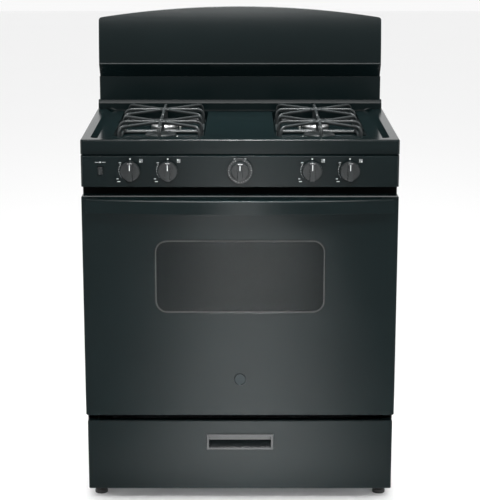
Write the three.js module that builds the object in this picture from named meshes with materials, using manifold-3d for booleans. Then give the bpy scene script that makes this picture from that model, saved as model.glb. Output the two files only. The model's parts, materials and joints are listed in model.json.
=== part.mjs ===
// Freestanding gas range: sealed-burner cooktop, oven with a drop-down door, lower drawer and backguard.
// Millimetres, +Z up, the front faces -Y. Every depth below is measured backwards from the cooktop's
// front edge; the last lines move the whole range so that its origin is the middle of its footprint.
import * as THREE from 'three';
import { mergeVertices } from 'three/addons/utils/BufferGeometryUtils.js';
import Module from 'manifold-3d';

const wasm = await Module();
wasm.setup();

// ---------------------------------------------------------------- driving dimensions

// Whole range
const TOP_WIDTH = 762; // cooktop, side to side
const TOP_OVERHANG = 3; // cooktop beyond each side panel
const BODY_DEPTH = 635; // cooktop front edge to rear face
const TOP_HEIGHT = 914; // floor to cooktop rim
const GUARD_HEIGHT = 272; // cooktop rim to the crown of the backguard
const CLEAR = 0.4; // gap between pieces that touch
const SHEET = 1.6; // folded sheet steel
const CORNER_R = 8; // upright front corners of the cooktop and control panel

// Front, from the top down
const FASCIA_HEIGHT = 35; // cooktop front edge
const SEAM = 2; // joint between cooktop and control panel
const PANEL_HEIGHT = 74; // control panel
const AIR_GAP = 21; // cooling gap above the door
const KICK_HEIGHT = 35; // floor to drawer front
const DRAWER_HEIGHT = 178.5; // drawer front
const DOOR_GAP = 19; // drawer front to door

// Front, from back to front
const FRAME_SETBACK = 22; // front frame behind the cooktop's edge
const PANEL_REACH = 17; // control panel ahead of the cooktop's edge
const DOOR_REACH = 21; // door skin ahead of the cooktop's edge
const DRAWER_REACH = 8; // drawer front ahead of the cooktop's edge
const HANDLE_REACH = 80; // middle of the handle ahead of the cooktop's edge

// Cooktop
const SIDE_RIM = 22; // flat rim at each side
const FRONT_RIM = 26; // flat rim at the front
const RIM_SLOPE = 13; // sloped band inside the rim
const FLOOR_DROP = 7; // rim down to the cooktop floor
const WELL_DROP = 34; // rim down to the well floor
const WELL_INNER = 86; // well edge from the centre line
const WELL_MARGIN = 71; // well edge from the cooktop's side
const WELL_FRONT = 95; // well edge behind the cooktop's front
const WELL_REAR_LAND = 8; // floor left between well and rear riser
const WELL_CORNER = 22; // well corner radius
const RISER_DEPTH = 12; // upstand at the rear of the cooktop
const RISER_RISE = 22; // rim up to the riser's crown
const RISER_BEVEL = 7; // sloped crown of the riser
const TOP_EDGE_R = 4; // rounded front edge

// Burners and grates
const BURNER_R = 35; // aluminium burner base
const BURNER_NECK_R = 24; // neck through the well floor
const BURNER_RISE = 12; // base above the well floor
const BURNER_NECK = 22; // neck below the well floor
const CAP_R = 39; // burner cap
const CAP_THICK = 7; // burner cap
const GRATE_GAP = 6; // grate to well wall and grate to grate
const GRATE_HEIGHT = 50; // well floor to cooking level
const GRATE_ROD = 8; // rod diameter
const GRATE_INSET = 9; // cooking level inside the base frame
const GRATE_CORNER = 18; // corner radius of the base frame
const HUB_R = 13; // small ring where the fingers meet

// Backguard
const GUARD_DEPTH = 94.6; // lower panel's face to the rear face
const VENT_BOTTOM = 83; // rim up to the lower panel's top edge
const VENT_HEIGHT = 36; // open slot between lower panel and shroud
const SHROUD_REACH = 32; // shroud's lower edge ahead of the lower panel
const SHROUD_LEAN = 27; // shroud's face leans back over its height
const SHROUD_ARCH = 29; // crown above the top corners
const SHROUD_CORNER = 7; // top corner radius
const SHROUD_INSET = 5; // shroud side inside the cooktop's side
const DEFLECTOR_WIDTH = 200; // folded plate in the vent slot

// Knobs and switch
const KNOB_INNER = 171.5; // inner burner knobs from the centre line
const KNOB_OUTER = 261; // outer burner knobs from the centre line
const KNOB_DROP = 34; // panel's top edge to the knob axis
const KNOB_R = 24; // burner knob
const DIAL_R = 31; // oven dial
const OVEN_KNOB_R = 22.5; // oven knob on its dial
const KNOB_BODY = 10; // thickness of the knob's disc
const GRIP_WIDTH = 11; // raised grip across the knob
const GRIP_DEPTH = 15; // grip beyond the disc
const KNOB_PUSH = 3; // travel needed before a knob turns
const KNOB_GAP = 4.5; // knob back to panel face
const STEM_R = 3; // control stem
const STEM_SLIP = 0.4; // stem to its bores
const SWITCH_X = 332; // rocker switch from the centre line
const SWITCH_WIDTH = 11;
const SWITCH_HEIGHT = 20;
const SWITCH_TILT = 6; // degrees, either way from the middle

// Oven
const OVEN_SIDE = 73; // body side to oven wall, the insulation space
const OVEN_BACK = 115; // rear face to oven wall
const OVEN_RISE = 69.5; // door's bottom edge to the oven bottom
const OVEN_DROP = 70; // door's top edge to the oven roof
const BURNER_BOX = 40; // depth of the space under the oven bottom
const LINER = 1.4; // oven liner and drawer box wall
const FIRST_LEDGE = 98; // oven bottom to the lowest ledge
const LEDGE_PITCH = 75;
const TOP_LEDGE_ROOM = 60; // least space over the highest ledge
const LEDGE_WIDTH = 13;
const LEDGE_HEIGHT = 5;
const RACK_ROD = 6; // frame rod diameter
const RACK_WIRE = 4; // cross wire diameter
const RACK_WIRES = 11;
const RACK_PLAY = 25; // rack's front edge to the closed door
const LAMP_SIDE = 90; // oven wall to the lamp's axis
const LAMP_DROP = 35; // oven roof to the lamp's axis
const LAMP_R = 22;
const OVEN_BURNER_R = 11;

// Door
const DOOR_PROUD = 0.5; // door beyond each side panel
const DOOR_THICK = 33; // skin's face to the inner panel's face
const WINDOW_WIDTH = 410;
const WINDOW_HEIGHT = 180;
const WINDOW_CORNER = 30;
const WINDOW_DROP = 109; // door's top edge to the window
const GLASS_LAP = 14; // glass hidden behind the sheet all round
const GLASS_THICK = 4;
const INNER_WINDOW_INSET = 15; // inner window inside the outer one
const GASKET_WIDTH = 12;
const GASKET_LAP = 5; // gasket outside the oven mouth
const BADGE_R = 15;
const BADGE_RISE = 91.5; // door's bottom edge to the badge's centre
const HINGE_X = 351; // hinge arm from the centre line
const HINGE_RISE = 8; // door's bottom edge to the hinge axis
const HINGE_SETBACK = 4; // hinge axis behind the cooktop's edge
const HINGE_ARM = 4; // arm plate thickness
const HINGE_PIN_R = 3;

// Handle
const HANDLE_INSET = 12.5; // handle end inside the door's side
const HANDLE_HEIGHT = 34;
const HANDLE_THICK = 9;
const HANDLE_BOW = 25; // middle ahead of the ends
const HANDLE_POST = 26; // width of each end post
const HANDLE_DROP = 1; // door's top edge to the handle's top edge

// Drawer
const DRAWER_INSET = 1.5; // drawer front inside each side panel
const DRAWER_THICK = 18; // drawer front
const PULL_WIDTH = 165;
const PULL_HEIGHT = 41;
const PULL_DROP = 35; // drawer front's top edge to the pull
const PULL_FRAME = 6; // bevelled frame round the pull
const TRAY_SIDE = 48; // body side to drawer box
const TRAY_REAR = 135; // rear face to drawer box
const TRAY_BOTTOM = 50; // floor to the underside
const TRAY_HEIGHT = 115;
const RAIL_RISE = 60; // box underside to the rail's running face
const RUNNER_WIDTH = 30;

// Base
const BASE_HEIGHT = 28; // floor to the base pan
const BASE_FLANGE = 20;
const FOOT_X = 352;
const FOOT_FRONT = 60; // front feet behind the cooktop's edge
const FOOT_REAR = 45; // rear feet ahead of the rear face
const FOOT_R = 16;
const FOOT_PAD = 9;
const FOOT_STEM_R = 5;

// Gas supply
const MANIFOLD_SETBACK = 66;
const MANIFOLD_R = 9;
const VALVE_FRONT = 8; // valve face behind the cooktop's edge
const VALVE_HALF = 14;
const THERMOSTAT_HALF = 24;
const INLET_X = 240;
const INLET_HEIGHT = 90;
const INLET_R = 11;
const INLET_BORE = 4;
const INLET_LENGTH = 55; // pipe from the rear face inwards
const REGULATOR_LENGTH = 25;
const REGULATOR_R = 20;

// ---------------------------------------------------------------- planes worked out from them

const HALF_TOP = TOP_WIDTH / 2;
const OVERALL_HEIGHT = TOP_HEIGHT + GUARD_HEIGHT;
const HALF_BODY = HALF_TOP - TOP_OVERHANG;
const FASCIA_Z = TOP_HEIGHT - FASCIA_HEIGHT;
const PANEL_TOP = FASCIA_Z - SEAM;
const PANEL_BOTTOM = PANEL_TOP - PANEL_HEIGHT;
const DOOR_TOP = PANEL_BOTTOM - AIR_GAP;
const DRAWER_TOP = KICK_HEIGHT + DRAWER_HEIGHT;
const DOOR_BOTTOM = DRAWER_TOP + DOOR_GAP;
const DOOR_HALF = HALF_BODY + DOOR_PROUD;
const DRAWER_HALF = HALF_BODY - DRAWER_INSET;
const INSIDE_HALF = HALF_BODY - SHEET - CLEAR;
const FLOOR_Z = TOP_HEIGHT - FLOOR_DROP;
const WELL_Z = TOP_HEIGHT - WELL_DROP;
const GUARD_Y = BODY_DEPTH - GUARD_DEPTH;
const TOP_REAR = GUARD_Y - CLEAR;
const RISER_Y = TOP_REAR - RISER_DEPTH;
const WELL_OUTER = HALF_TOP - WELL_MARGIN;
const WELL_REAR = RISER_Y - WELL_REAR_LAND;
const WELL_X = (WELL_INNER + WELL_OUTER) / 2;
const GRATE_WIDTH = WELL_OUTER - WELL_INNER - 2 * GRATE_GAP;
const GRATE_LENGTH = (WELL_REAR - WELL_FRONT - 3 * GRATE_GAP) / 2;
const BURNER_YS = [WELL_FRONT + GRATE_GAP + GRATE_LENGTH / 2, WELL_REAR - GRATE_GAP - GRATE_LENGTH / 2];
const KNOB_Z = PANEL_TOP - KNOB_DROP;
const PANEL_FACE = -PANEL_REACH;
const REAR_SHEET_Y = BODY_DEPTH - SHEET;
const SLOT_BOTTOM = TOP_HEIGHT + VENT_BOTTOM;
const SHROUD_BOTTOM = SLOT_BOTTOM + VENT_HEIGHT;
const SHROUD_HALF = HALF_TOP - SHROUD_INSET;
const SHROUD_FACE = GUARD_Y - SHROUD_REACH;
const OVEN_HALF = HALF_BODY - OVEN_SIDE;
const OVEN_FRONT = FRAME_SETBACK + SHEET + CLEAR;
const OVEN_FLOOR = DOOR_BOTTOM + OVEN_RISE;
const OVEN_ROOF = DOOR_TOP - OVEN_DROP;
const LEDGE_SPAN = OVEN_ROOF - OVEN_FLOOR - FIRST_LEDGE - TOP_LEDGE_ROOM;
const LEDGES = Math.floor(LEDGE_SPAN / LEDGE_PITCH) + 1;
const RACK_LEVELS = Array.from({ length: LEDGES }, (_, i) => OVEN_FLOOR + FIRST_LEDGE + i * LEDGE_PITCH);
const UPPER_RACK = Math.max(1, LEDGES - 2);
const OVEN_REAR = BODY_DEPTH - OVEN_BACK;
const WINDOW_TOP = DOOR_TOP - WINDOW_DROP;
const WINDOW_Z = WINDOW_TOP - WINDOW_HEIGHT / 2;
const DOOR_BACK = DOOR_THICK - DOOR_REACH;
const HINGE_Z = DOOR_BOTTOM + HINGE_RISE;
const TRAY_HALF = HALF_BODY - TRAY_SIDE;
const MOUTH_LIP = 2; // front frame's mouth inside the liner's walls
const MOUTH_HALF = OVEN_HALF - MOUTH_LIP;
const MOUTH_TOP = OVEN_ROOF - MOUTH_LIP;

// ---------------------------------------------------------------- geometry helpers

const X = new THREE.Vector3(1, 0, 0);
const Y = new THREE.Vector3(0, 1, 0);
const Z = new THREE.Vector3(0, 0, 1);
const PAST = 5; // how far a cutting solid runs past the face that it cuts

function block([x0, x1], [y0, y1], [z0, z1]) {
  const geometry = new THREE.BoxGeometry(x1 - x0, y1 - y0, z1 - z0);
  return geometry.translate((x0 + x1) / 2, (y0 + y1) / 2, (z0 + z1) / 2);
}

// A block whose top outline differs from its bottom outline.
function taperedBlock(bottom, top, [z0, z1]) {
  const geometry = new THREE.BoxGeometry(1, 1, 1);
  const position = geometry.attributes.position;
  for (let i = 0; i < position.count; i += 1) {
    const [[x0, x1], [y0, y1]] = position.getZ(i) > 0 ? top : bottom;
    const x = position.getX(i) > 0 ? x1 : x0;
    const y = position.getY(i) > 0 ? y1 : y0;
    position.setXYZ(i, x, y, position.getZ(i) > 0 ? z1 : z0);
  }
  return geometry;
}

// Extrudes an outline along an axis. It is drawn in (y, z) for x, in (x, z) for y and in (x, y) for z.
function prism(outline, axis, [from, to], curveSegments = 6) {
  const shape = Array.isArray(outline) ? new THREE.Shape(outline.map(([u, v]) => vec2(u, v))) : outline;
  const options = { depth: to - from, bevelEnabled: false, curveSegments };
  const geometry = new THREE.ExtrudeGeometry(shape, options);
  const frame = new THREE.Matrix4();
  if (axis === 'x') frame.makeBasis(Y, Z, X).setPosition(from, 0, 0);
  if (axis === 'y') frame.makeBasis(X, Z, Y.clone().negate()).setPosition(0, to, 0);
  if (axis === 'z') frame.setPosition(0, 0, from);
  return geometry.applyMatrix4(frame);
}

function roundedRect([u0, u1], [v0, v1], r) {
  const shape = new THREE.Shape();
  shape.moveTo(u0 + r, v0);
  shape.absarc(u1 - r, v0 + r, r, -Math.PI / 2, 0);
  shape.absarc(u1 - r, v1 - r, r, 0, Math.PI / 2);
  shape.absarc(u0 + r, v1 - r, r, Math.PI / 2, Math.PI);
  shape.absarc(u0 + r, v0 + r, r, Math.PI, 1.5 * Math.PI);
  return shape;
}

// Plan outline with its two front corners rounded.
function roundedFrontPlan(half, [y0, y1], r) {
  const shape = new THREE.Shape();
  shape.moveTo(half, y1);
  shape.lineTo(-half, y1);
  shape.absarc(-half + r, y0 + r, r, Math.PI, 1.5 * Math.PI);
  shape.absarc(half - r, y0 + r, r, 1.5 * Math.PI, 2 * Math.PI);
  return shape;
}

// A turned piece about +Z from its [radius, height] outline.
function turned(outline, segments = 24) {
  const closed = outline[0][0] === 0 ? outline : [...outline, outline[0]];
  const points = closed.map(([r, z]) => vec2(r, z));
  return new THREE.LatheGeometry(points, segments).rotateX(Math.PI / 2);
}

function cylinder(axis, radius, [from, to], sides = 16) {
  const geometry = new THREE.CylinderGeometry(radius, radius, to - from, sides);
  geometry.translate(0, (from + to) / 2, 0);
  if (axis === 'x') geometry.rotateZ(-Math.PI / 2);
  if (axis === 'z') geometry.rotateX(Math.PI / 2);
  return geometry;
}

function vec(x, y, z) {
  return new THREE.Vector3(x, y, z);
}

function vec2(u, v) {
  return new THREE.Vector2(u, v);
}

function toSolid(geometry) {
  const bare = geometry.clone();
  bare.deleteAttribute('normal');
  bare.deleteAttribute('uv');
  const merged = mergeVertices(bare, 1e-3);
  const vertProperties = new Float32Array(merged.attributes.position.array);
  const triVerts = new Uint32Array(merged.index.array);
  return new wasm.Manifold(new wasm.Mesh({ numProp: 3, vertProperties, triVerts }));
}

function toGeometry(solid) {
  const mesh = solid.getMesh();
  const geometry = new THREE.BufferGeometry();
  geometry.setAttribute('position', new THREE.BufferAttribute(new Float32Array(mesh.vertProperties), 3));
  geometry.setIndex(new THREE.BufferAttribute(new Uint32Array(mesh.triVerts), 1));
  geometry.computeVertexNormals();
  return geometry;
}

function join(...geometries) {
  return toGeometry(geometries.map(toSolid).reduce((sum, solid) => sum.add(solid)));
}

function cut(geometry, ...tools) {
  return toGeometry(tools.map(toSolid).reduce((rest, tool) => rest.subtract(tool), toSolid(geometry)));
}

function common(a, b) {
  return toGeometry(toSolid(a).intersect(toSolid(b)));
}

// ---------------------------------------------------------------- finishes

const FINISHES = {
  enamel: { color: 0x14191a, roughness: 0.12, metalness: 0.0 },
  darkPaint: { color: 0x101314, roughness: 0.35, metalness: 0.0 },
  blackPlastic: { color: 0x111414, roughness: 0.3, metalness: 0.0 },
  castBlack: { color: 0x17191a, roughness: 0.55, metalness: 0.0 },
  aluminium: { color: 0xc9cccd, roughness: 0.35, metalness: 1.0 },
  steel: { color: 0x8c9092, roughness: 0.4, metalness: 1.0 },
  greyEnamel: { color: 0x2c3033, roughness: 0.45, metalness: 0.0 },
  glass: { color: 0x0b0e0f, roughness: 0.05, metalness: 0.0 },
  rubber: { color: 0x1a1a1a, roughness: 0.8, metalness: 0.0 },
  clearGlass: { color: 0xe8eef0, roughness: 0.1, metalness: 0.0 },
  badge: { color: 0x3a4042, roughness: 0.3, metalness: 0.6 },
  brass: { color: 0xb08d4a, roughness: 0.35, metalness: 1.0 },
};

function piece(name, geometry, finish) {
  const mesh = new THREE.Mesh(geometry, new THREE.MeshStandardMaterial(FINISHES[finish]));
  mesh.name = name;
  return mesh;
}

const SIDES = [['left', -1], ['right', 1]];
const ROWS = [['front', 0], ['rear', 1]];

// ---------------------------------------------------------------- body

function sidePanel(name, side) {
  const outer = side * HALF_BODY;
  const inner = side * (HALF_BODY - SHEET);
  const flange = side * (HALF_BODY - BASE_FLANGE);
  const rear = REAR_SHEET_Y - CLEAR;
  const plan = [[outer, FRAME_SETBACK], [outer, rear], [flange, rear], [flange, rear - SHEET]];
  plan.push([inner, rear - SHEET], [inner, FRAME_SETBACK]);
  return piece(name, prism(plan, 'z', [BASE_HEIGHT, PANEL_TOP]), 'darkPaint');
}

function basePan() {
  const edge = INSIDE_HALF;
  const top = BASE_HEIGHT + BASE_FLANGE;
  const floor = BASE_HEIGHT + SHEET;
  const profile = [[-edge, BASE_HEIGHT], [edge, BASE_HEIGHT], [edge, top], [edge - SHEET, top]];
  profile.push([edge - SHEET, floor], [SHEET - edge, floor], [SHEET - edge, top], [-edge, top]);
  const rear = REAR_SHEET_Y - 2 * CLEAR - SHEET;
  const pan = prism(profile, 'y', [FRAME_SETBACK + SHEET + CLEAR, rear]);
  const holes = footPlaces().map(({ x, y }) => {
    const hole = cylinder('z', FOOT_STEM_R + CLEAR, [BASE_HEIGHT - PAST, floor + PAST], 12);
    return hole.translate(x, y, 0);
  });
  return piece('base_pan', cut(pan, ...holes), 'darkPaint');
}

function footPlaces() {
  const places = [];
  for (const [sideName, side] of SIDES) {
    places.push({ name: `foot_front_${sideName}`, x: side * FOOT_X, y: FOOT_FRONT });
    places.push({ name: `foot_rear_${sideName}`, x: side * FOOT_X, y: BODY_DEPTH - FOOT_REAR });
  }
  return places;
}

function foot({ name, x, y }) {
  const top = BASE_HEIGHT + BASE_FLANGE - CLEAR;
  const outline = [[0, 0], [FOOT_R, 0], [FOOT_R, FOOT_PAD - 2], [FOOT_R - 3, FOOT_PAD]];
  outline.push([FOOT_STEM_R, FOOT_PAD], [FOOT_STEM_R, top], [0, top]);
  const mesh = piece(name, turned(outline, 12), 'rubber');
  mesh.position.set(x, y, 0);
  return mesh;
}

function rearPanel() {
  const edge = HALF_BODY - CLEAR;
  const sheet = block([-edge, edge], [REAR_SHEET_Y, BODY_DEPTH], [BASE_HEIGHT, SLOT_BOTTOM]);
  const hole = cylinder('y', INLET_R + 2, [REAR_SHEET_Y - PAST, BODY_DEPTH + PAST], 16);
  hole.translate(INLET_X, 0, INLET_HEIGHT);
  return piece('rear_panel', cut(sheet, hole), 'steel');
}

function gasInlet() {
  const end = INLET_LENGTH + REGULATOR_LENGTH;
  const outline = [[INLET_BORE, 0], [INLET_R, 0], [INLET_R, INLET_LENGTH], [REGULATOR_R, INLET_LENGTH]];
  outline.push([REGULATOR_R, end], [INLET_BORE, end]);
  const mesh = piece('gas_inlet', turned(outline, 12), 'brass');
  mesh.rotation.x = Math.PI / 2;
  mesh.position.set(INLET_X, BODY_DEPTH - 1, INLET_HEIGHT);
  return mesh;
}

function frontFrame() {
  const low = DRAWER_TOP + SEAM;
  const rear = FRAME_SETBACK + SHEET;
  const plate = block([-INSIDE_HALF, INSIDE_HALF], [FRAME_SETBACK, rear], [low, PANEL_BOTTOM]);
  const past = [FRAME_SETBACK - PAST, rear + PAST];
  const mouth = block([-MOUTH_HALF, MOUTH_HALF], past, [OVEN_FLOOR, MOUTH_TOP]);
  const slots = SIDES.map(([, side]) => {
    const half = HINGE_ARM / 2 + CLEAR;
    return block([side * HINGE_X - half, side * HINGE_X + half], past, [low - PAST, HINGE_Z + 12]);
  });
  return piece('front_frame', cut(plate, mouth, ...slots), 'darkPaint');
}

// ---------------------------------------------------------------- cooktop

function cooktop() {
  const r = TOP_EDGE_R;
  const crown = TOP_HEIGHT + RISER_RISE;
  const profile = new THREE.Shape();
  profile.moveTo(TOP_REAR, FASCIA_Z);
  profile.lineTo(TOP_REAR, crown);
  profile.lineTo(RISER_Y + RISER_BEVEL, crown);
  profile.lineTo(RISER_Y, crown - RISER_BEVEL);
  profile.lineTo(RISER_Y, TOP_HEIGHT);
  profile.absarc(r, TOP_HEIGHT - r, r, Math.PI / 2, Math.PI);
  profile.lineTo(0, FASCIA_Z);
  const plan = roundedFrontPlan(HALF_TOP, [0, TOP_REAR], CORNER_R);
  const across = prism(profile, 'x', [-HALF_TOP, HALF_TOP], 3);
  const slab = common(across, prism(plan, 'z', [FASCIA_Z, crown], 4));
  const floorHalf = HALF_TOP - SIDE_RIM - RIM_SLOPE;
  const over = 1 + 1 / FLOOR_DROP;
  const wide = floorHalf + RIM_SLOPE * over;
  const low = [[-floorHalf, floorHalf], [FRONT_RIM + RIM_SLOPE, RISER_Y]];
  const high = [[-wide, wide], [FRONT_RIM + RIM_SLOPE * (1 - over), RISER_Y]];
  const recess = taperedBlock(low, high, [FLOOR_Z, TOP_HEIGHT + 1]);
  const inner = HALF_TOP - SHEET;
  const under = block([-inner, inner], [SHEET, RISER_Y - SHEET], [FASCIA_Z - PAST, FLOOR_Z - SHEET]);
  const riserFront = RISER_Y + SHEET;
  const riserHollow = [FASCIA_Z - PAST, crown - RISER_BEVEL - SHEET];
  const behind = block([-inner, inner], [riserFront, TOP_REAR - SHEET], riserHollow);
  const pans = [];
  const wells = [];
  const holes = [];
  for (const [, side] of SIDES) {
    const edges = [side * WELL_INNER, side * WELL_OUTER].sort((a, b) => a - b);
    const [x0, x1] = edges;
    const wallY = [WELL_FRONT - SHEET, WELL_REAR + SHEET];
    const outline = roundedRect([x0 - SHEET, x1 + SHEET], wallY, WELL_CORNER);
    pans.push(prism(outline, 'z', [WELL_Z - SHEET, FLOOR_Z - SHEET + 1], 3));
    const hollow = roundedRect([x0, x1], [WELL_FRONT, WELL_REAR], WELL_CORNER - SHEET);
    wells.push(prism(hollow, 'z', [WELL_Z, TOP_HEIGHT + PAST], 3));
    for (const y of BURNER_YS) {
      const hole = cylinder('z', BURNER_NECK_R + CLEAR, [WELL_Z - SHEET - PAST, WELL_Z + PAST], 20);
      holes.push(hole.translate(side * WELL_X, y, 0));
    }
  }
  const shell = cut(slab, recess, under, behind);
  return piece('cooktop', cut(join(shell, ...pans), ...wells, ...holes), 'enamel');
}

// ---------------------------------------------------------------- burners and grates

function burnerBase(name) {
  const seat = CLEAR;
  const top = BURNER_RISE;
  const bore = BURNER_NECK_R - 4;
  const outline = [[bore, -BURNER_NECK], [BURNER_NECK_R, -BURNER_NECK], [BURNER_NECK_R, seat]];
  outline.push([BURNER_R, seat], [BURNER_R, top - 3], [BURNER_R - 3, top], [bore, top]);
  return piece(name, turned(outline, 20), 'aluminium');
}

function burnerCap(name) {
  const low = BURNER_RISE + CLEAR;
  const lip = BURNER_NECK_R - 4 - CLEAR;
  const outline = [[0, low], [lip - 3, low], [lip - 3, low - 3], [lip, low - 3], [lip, low], [CAP_R, low]];
  outline.push([CAP_R, low + CAP_THICK - 3], [CAP_R - 3, low + CAP_THICK - 1], [0, low + CAP_THICK]);
  return piece(name, turned(outline, 20), 'castBlack');
}

// Grate: a base frame on the well floor, eight bent fingers up to the cooking level and a small hub.
function grate(name) {
  const r = GRATE_ROD / 2;
  const low = CLEAR;
  const halfX = GRATE_WIDTH / 2;
  const halfY = GRATE_LENGTH / 2;
  const outer = roundedRect([-halfX, halfX], [-halfY, halfY], GRATE_CORNER);
  const bore = GRATE_CORNER - GRATE_ROD;
  const innerX = halfX - GRATE_ROD;
  const innerY = halfY - GRATE_ROD;
  const hollow = roundedRect([-innerX, innerX], [-innerY, innerY], bore);
  const inner = prism(hollow, 'z', [low - PAST, low + GRATE_ROD + PAST], 2);
  const frame = cut(prism(outer, 'z', [low, low + GRATE_ROD], 2), inner);
  const hubZ = [GRATE_HEIGHT - GRATE_ROD + 0.5, GRATE_HEIGHT - 0.5];
  const hubBore = cylinder('z', HUB_R - r, [0, GRATE_HEIGHT + PAST], 10);
  const hub = cut(cylinder('z', HUB_R + r, hubZ, 10), hubBore);
  const fingers = [];
  for (const ux of [-1, 0, 1]) {
    for (const uy of [-1, 0, 1]) {
      if (ux === 0 && uy === 0) continue;
      const pull = ux !== 0 && uy !== 0 ? GRATE_CORNER * (1 - Math.SQRT1_2) + r : r;
      const x = ux * (halfX - pull);
      const y = uy * (halfY - pull);
      fingers.push(finger(Math.hypot(x, y), low).rotateZ(Math.atan2(y, x)));
    }
  }
  return piece(name, join(frame, hub, ...fingers), 'castBlack');
}

// One finger along +X: a leg up from the base frame, a sloped shoulder and a level run in to the hub.
function finger(reach, low) {
  const r = GRATE_ROD / 2;
  const out = reach + r - 0.5;
  const top = GRATE_HEIGHT;
  const profile = [[out, low + 1], [out, top - GRATE_INSET], [out - GRATE_INSET, top], [HUB_R, top]];
  profile.push([HUB_R, top - GRATE_ROD], [out - GRATE_ROD - GRATE_INSET / 2, top - GRATE_ROD]);
  profile.push([out - GRATE_ROD, top - GRATE_ROD - GRATE_INSET / 2], [out - GRATE_ROD, low + 1]);
  return prism(profile, 'y', [-r, r]);
}

function rodBetween(a, b, diameter, sides = 6) {
  const span = b.clone().sub(a);
  const geometry = new THREE.CylinderGeometry(diameter / 2, diameter / 2, span.length(), sides);
  const turn = new THREE.Quaternion().setFromUnitVectors(Y, span.clone().normalize());
  const middle = a.clone().add(b).multiplyScalar(0.5);
  return geometry.applyQuaternion(turn).translate(middle.x, middle.y, middle.z);
}

function ball(centre, radius) {
  return new THREE.SphereGeometry(radius, 6, 4).translate(centre.x, centre.y, centre.z);
}

function burnerSet(sideName, side, rowName, row) {
  const set = new THREE.Group();
  set.position.set(side * WELL_X, BURNER_YS[row], WELL_Z);
  const place = `${rowName}_${sideName}`;
  set.add(burnerBase(`burner_base_${place}`), burnerCap(`burner_cap_${place}`), grate(`grate_${place}`));
  return set;
}

// ---------------------------------------------------------------- controls

function controlPanel() {
  const rear = FRAME_SETBACK - CLEAR;
  const face = PANEL_FACE;
  const half = HALF_BODY + 1;
  const profile = [[rear, PANEL_TOP], [face + 2, PANEL_TOP], [face, PANEL_TOP - 2], [face, PANEL_BOTTOM]];
  profile.push([rear, PANEL_BOTTOM]);
  const plan = roundedFrontPlan(half, [face, rear], CORNER_R);
  const slab = common(prism(profile, 'x', [-half, half]), prism(plan, 'z', [PANEL_BOTTOM, PANEL_TOP], 4));
  const inner = half - SHEET;
  const innerZ = [PANEL_BOTTOM + SHEET, PANEL_TOP - SHEET];
  const hollow = block([-inner, inner], [face + SHEET, rear + PAST], innerZ);
  const past = [face - PAST, face + SHEET + PAST];
  const holes = knobPlaces().map(({ x }) => cylinder('y', STEM_R + 2, past, 12).translate(x, 0, KNOB_Z));
  const w = SWITCH_WIDTH / 2 + 1;
  const h = SWITCH_HEIGHT / 2 + 1.5;
  holes.push(block([-SWITCH_X - w, -SWITCH_X + w], past, [KNOB_Z - h, KNOB_Z + h]));
  return piece('control_panel', cut(slab, hollow, ...holes), 'enamel');
}

function knobPlaces() {
  return [
    { name: 'burner_1', x: -KNOB_OUTER },
    { name: 'burner_2', x: -KNOB_INNER },
    { name: 'oven', x: 0 },
    { name: 'burner_3', x: KNOB_INNER },
    { name: 'burner_4', x: KNOB_OUTER },
  ];
}

const STEM_TIP = PANEL_FACE - KNOB_GAP - KNOB_BODY - GRIP_DEPTH / 2; // depth of the stem's outer end
const STEM_END = VALVE_FRONT + 14; // depth of the stem's inner end
const BORE_END = STEM_END + KNOB_PUSH + 2; // depth of the bore's blind end

function stem({ name, x }) {
  const mesh = piece(`stem_${name}`, cylinder('y', STEM_R, [STEM_TIP, STEM_END], 10), 'steel');
  mesh.position.set(x, 0, KNOB_Z);
  return mesh;
}

// Knob: a slightly conical disc and a raised grip, bored from behind for its stem.
function knob({ name, x }) {
  const isOven = name === 'oven';
  const radius = isOven ? OVEN_KNOB_R : KNOB_R;
  const back = PANEL_FACE - KNOB_GAP;
  const edge = [radius, KNOB_BODY - 3];
  const disc = turned([[0, 0], [radius, 0], edge, [radius - 2.5, KNOB_BODY], [0, KNOB_BODY]], 24);
  const w = GRIP_WIDTH / 2;
  const gripTop = KNOB_BODY + GRIP_DEPTH;
  const reach = radius - 1.5;
  const gripProfile = [[-w - 1, KNOB_BODY - 2], [w + 1, KNOB_BODY - 2], [w, gripTop - 2], [w - 2, gripTop]];
  gripProfile.push([2 - w, gripTop], [-w, gripTop - 2]);
  const grip = prism(gripProfile, 'y', [-reach, reach]);
  const solids = [disc, grip];
  if (isOven) solids.push(turned([[0, 0], [DIAL_R, 0], [DIAL_R, 1.5], [DIAL_R - 1.5, 3], [0, 3]], 28));
  const bore = cylinder('z', STEM_R + STEM_SLIP, [-PAST, back - STEM_TIP + CLEAR], 12);
  const mesh = piece(`knob_${name}`, cut(join(...solids), bore), 'blackPlastic');
  mesh.rotation.x = Math.PI / 2;
  mesh.position.set(x, back, KNOB_Z);
  return mesh;
}

function manifold() {
  const ends = KNOB_OUTER + VALVE_HALF + 10;
  const pipe = cylinder('x', MANIFOLD_R, [-ends, ends], 12).translate(0, MANIFOLD_SETBACK, KNOB_Z);
  const valves = [];
  const bores = [];
  for (const { name, x } of knobPlaces()) {
    if (name === 'oven') continue;
    const z = [KNOB_Z - VALVE_HALF, KNOB_Z + VALVE_HALF];
    valves.push(block([x - VALVE_HALF, x + VALVE_HALF], [VALVE_FRONT, MANIFOLD_SETBACK], z));
    const bore = cylinder('y', STEM_R + STEM_SLIP, [VALVE_FRONT - PAST, BORE_END], 12);
    bores.push(bore.translate(x, 0, KNOB_Z));
  }
  return piece('gas_manifold', cut(join(pipe, ...valves), ...bores), 'aluminium');
}

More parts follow.
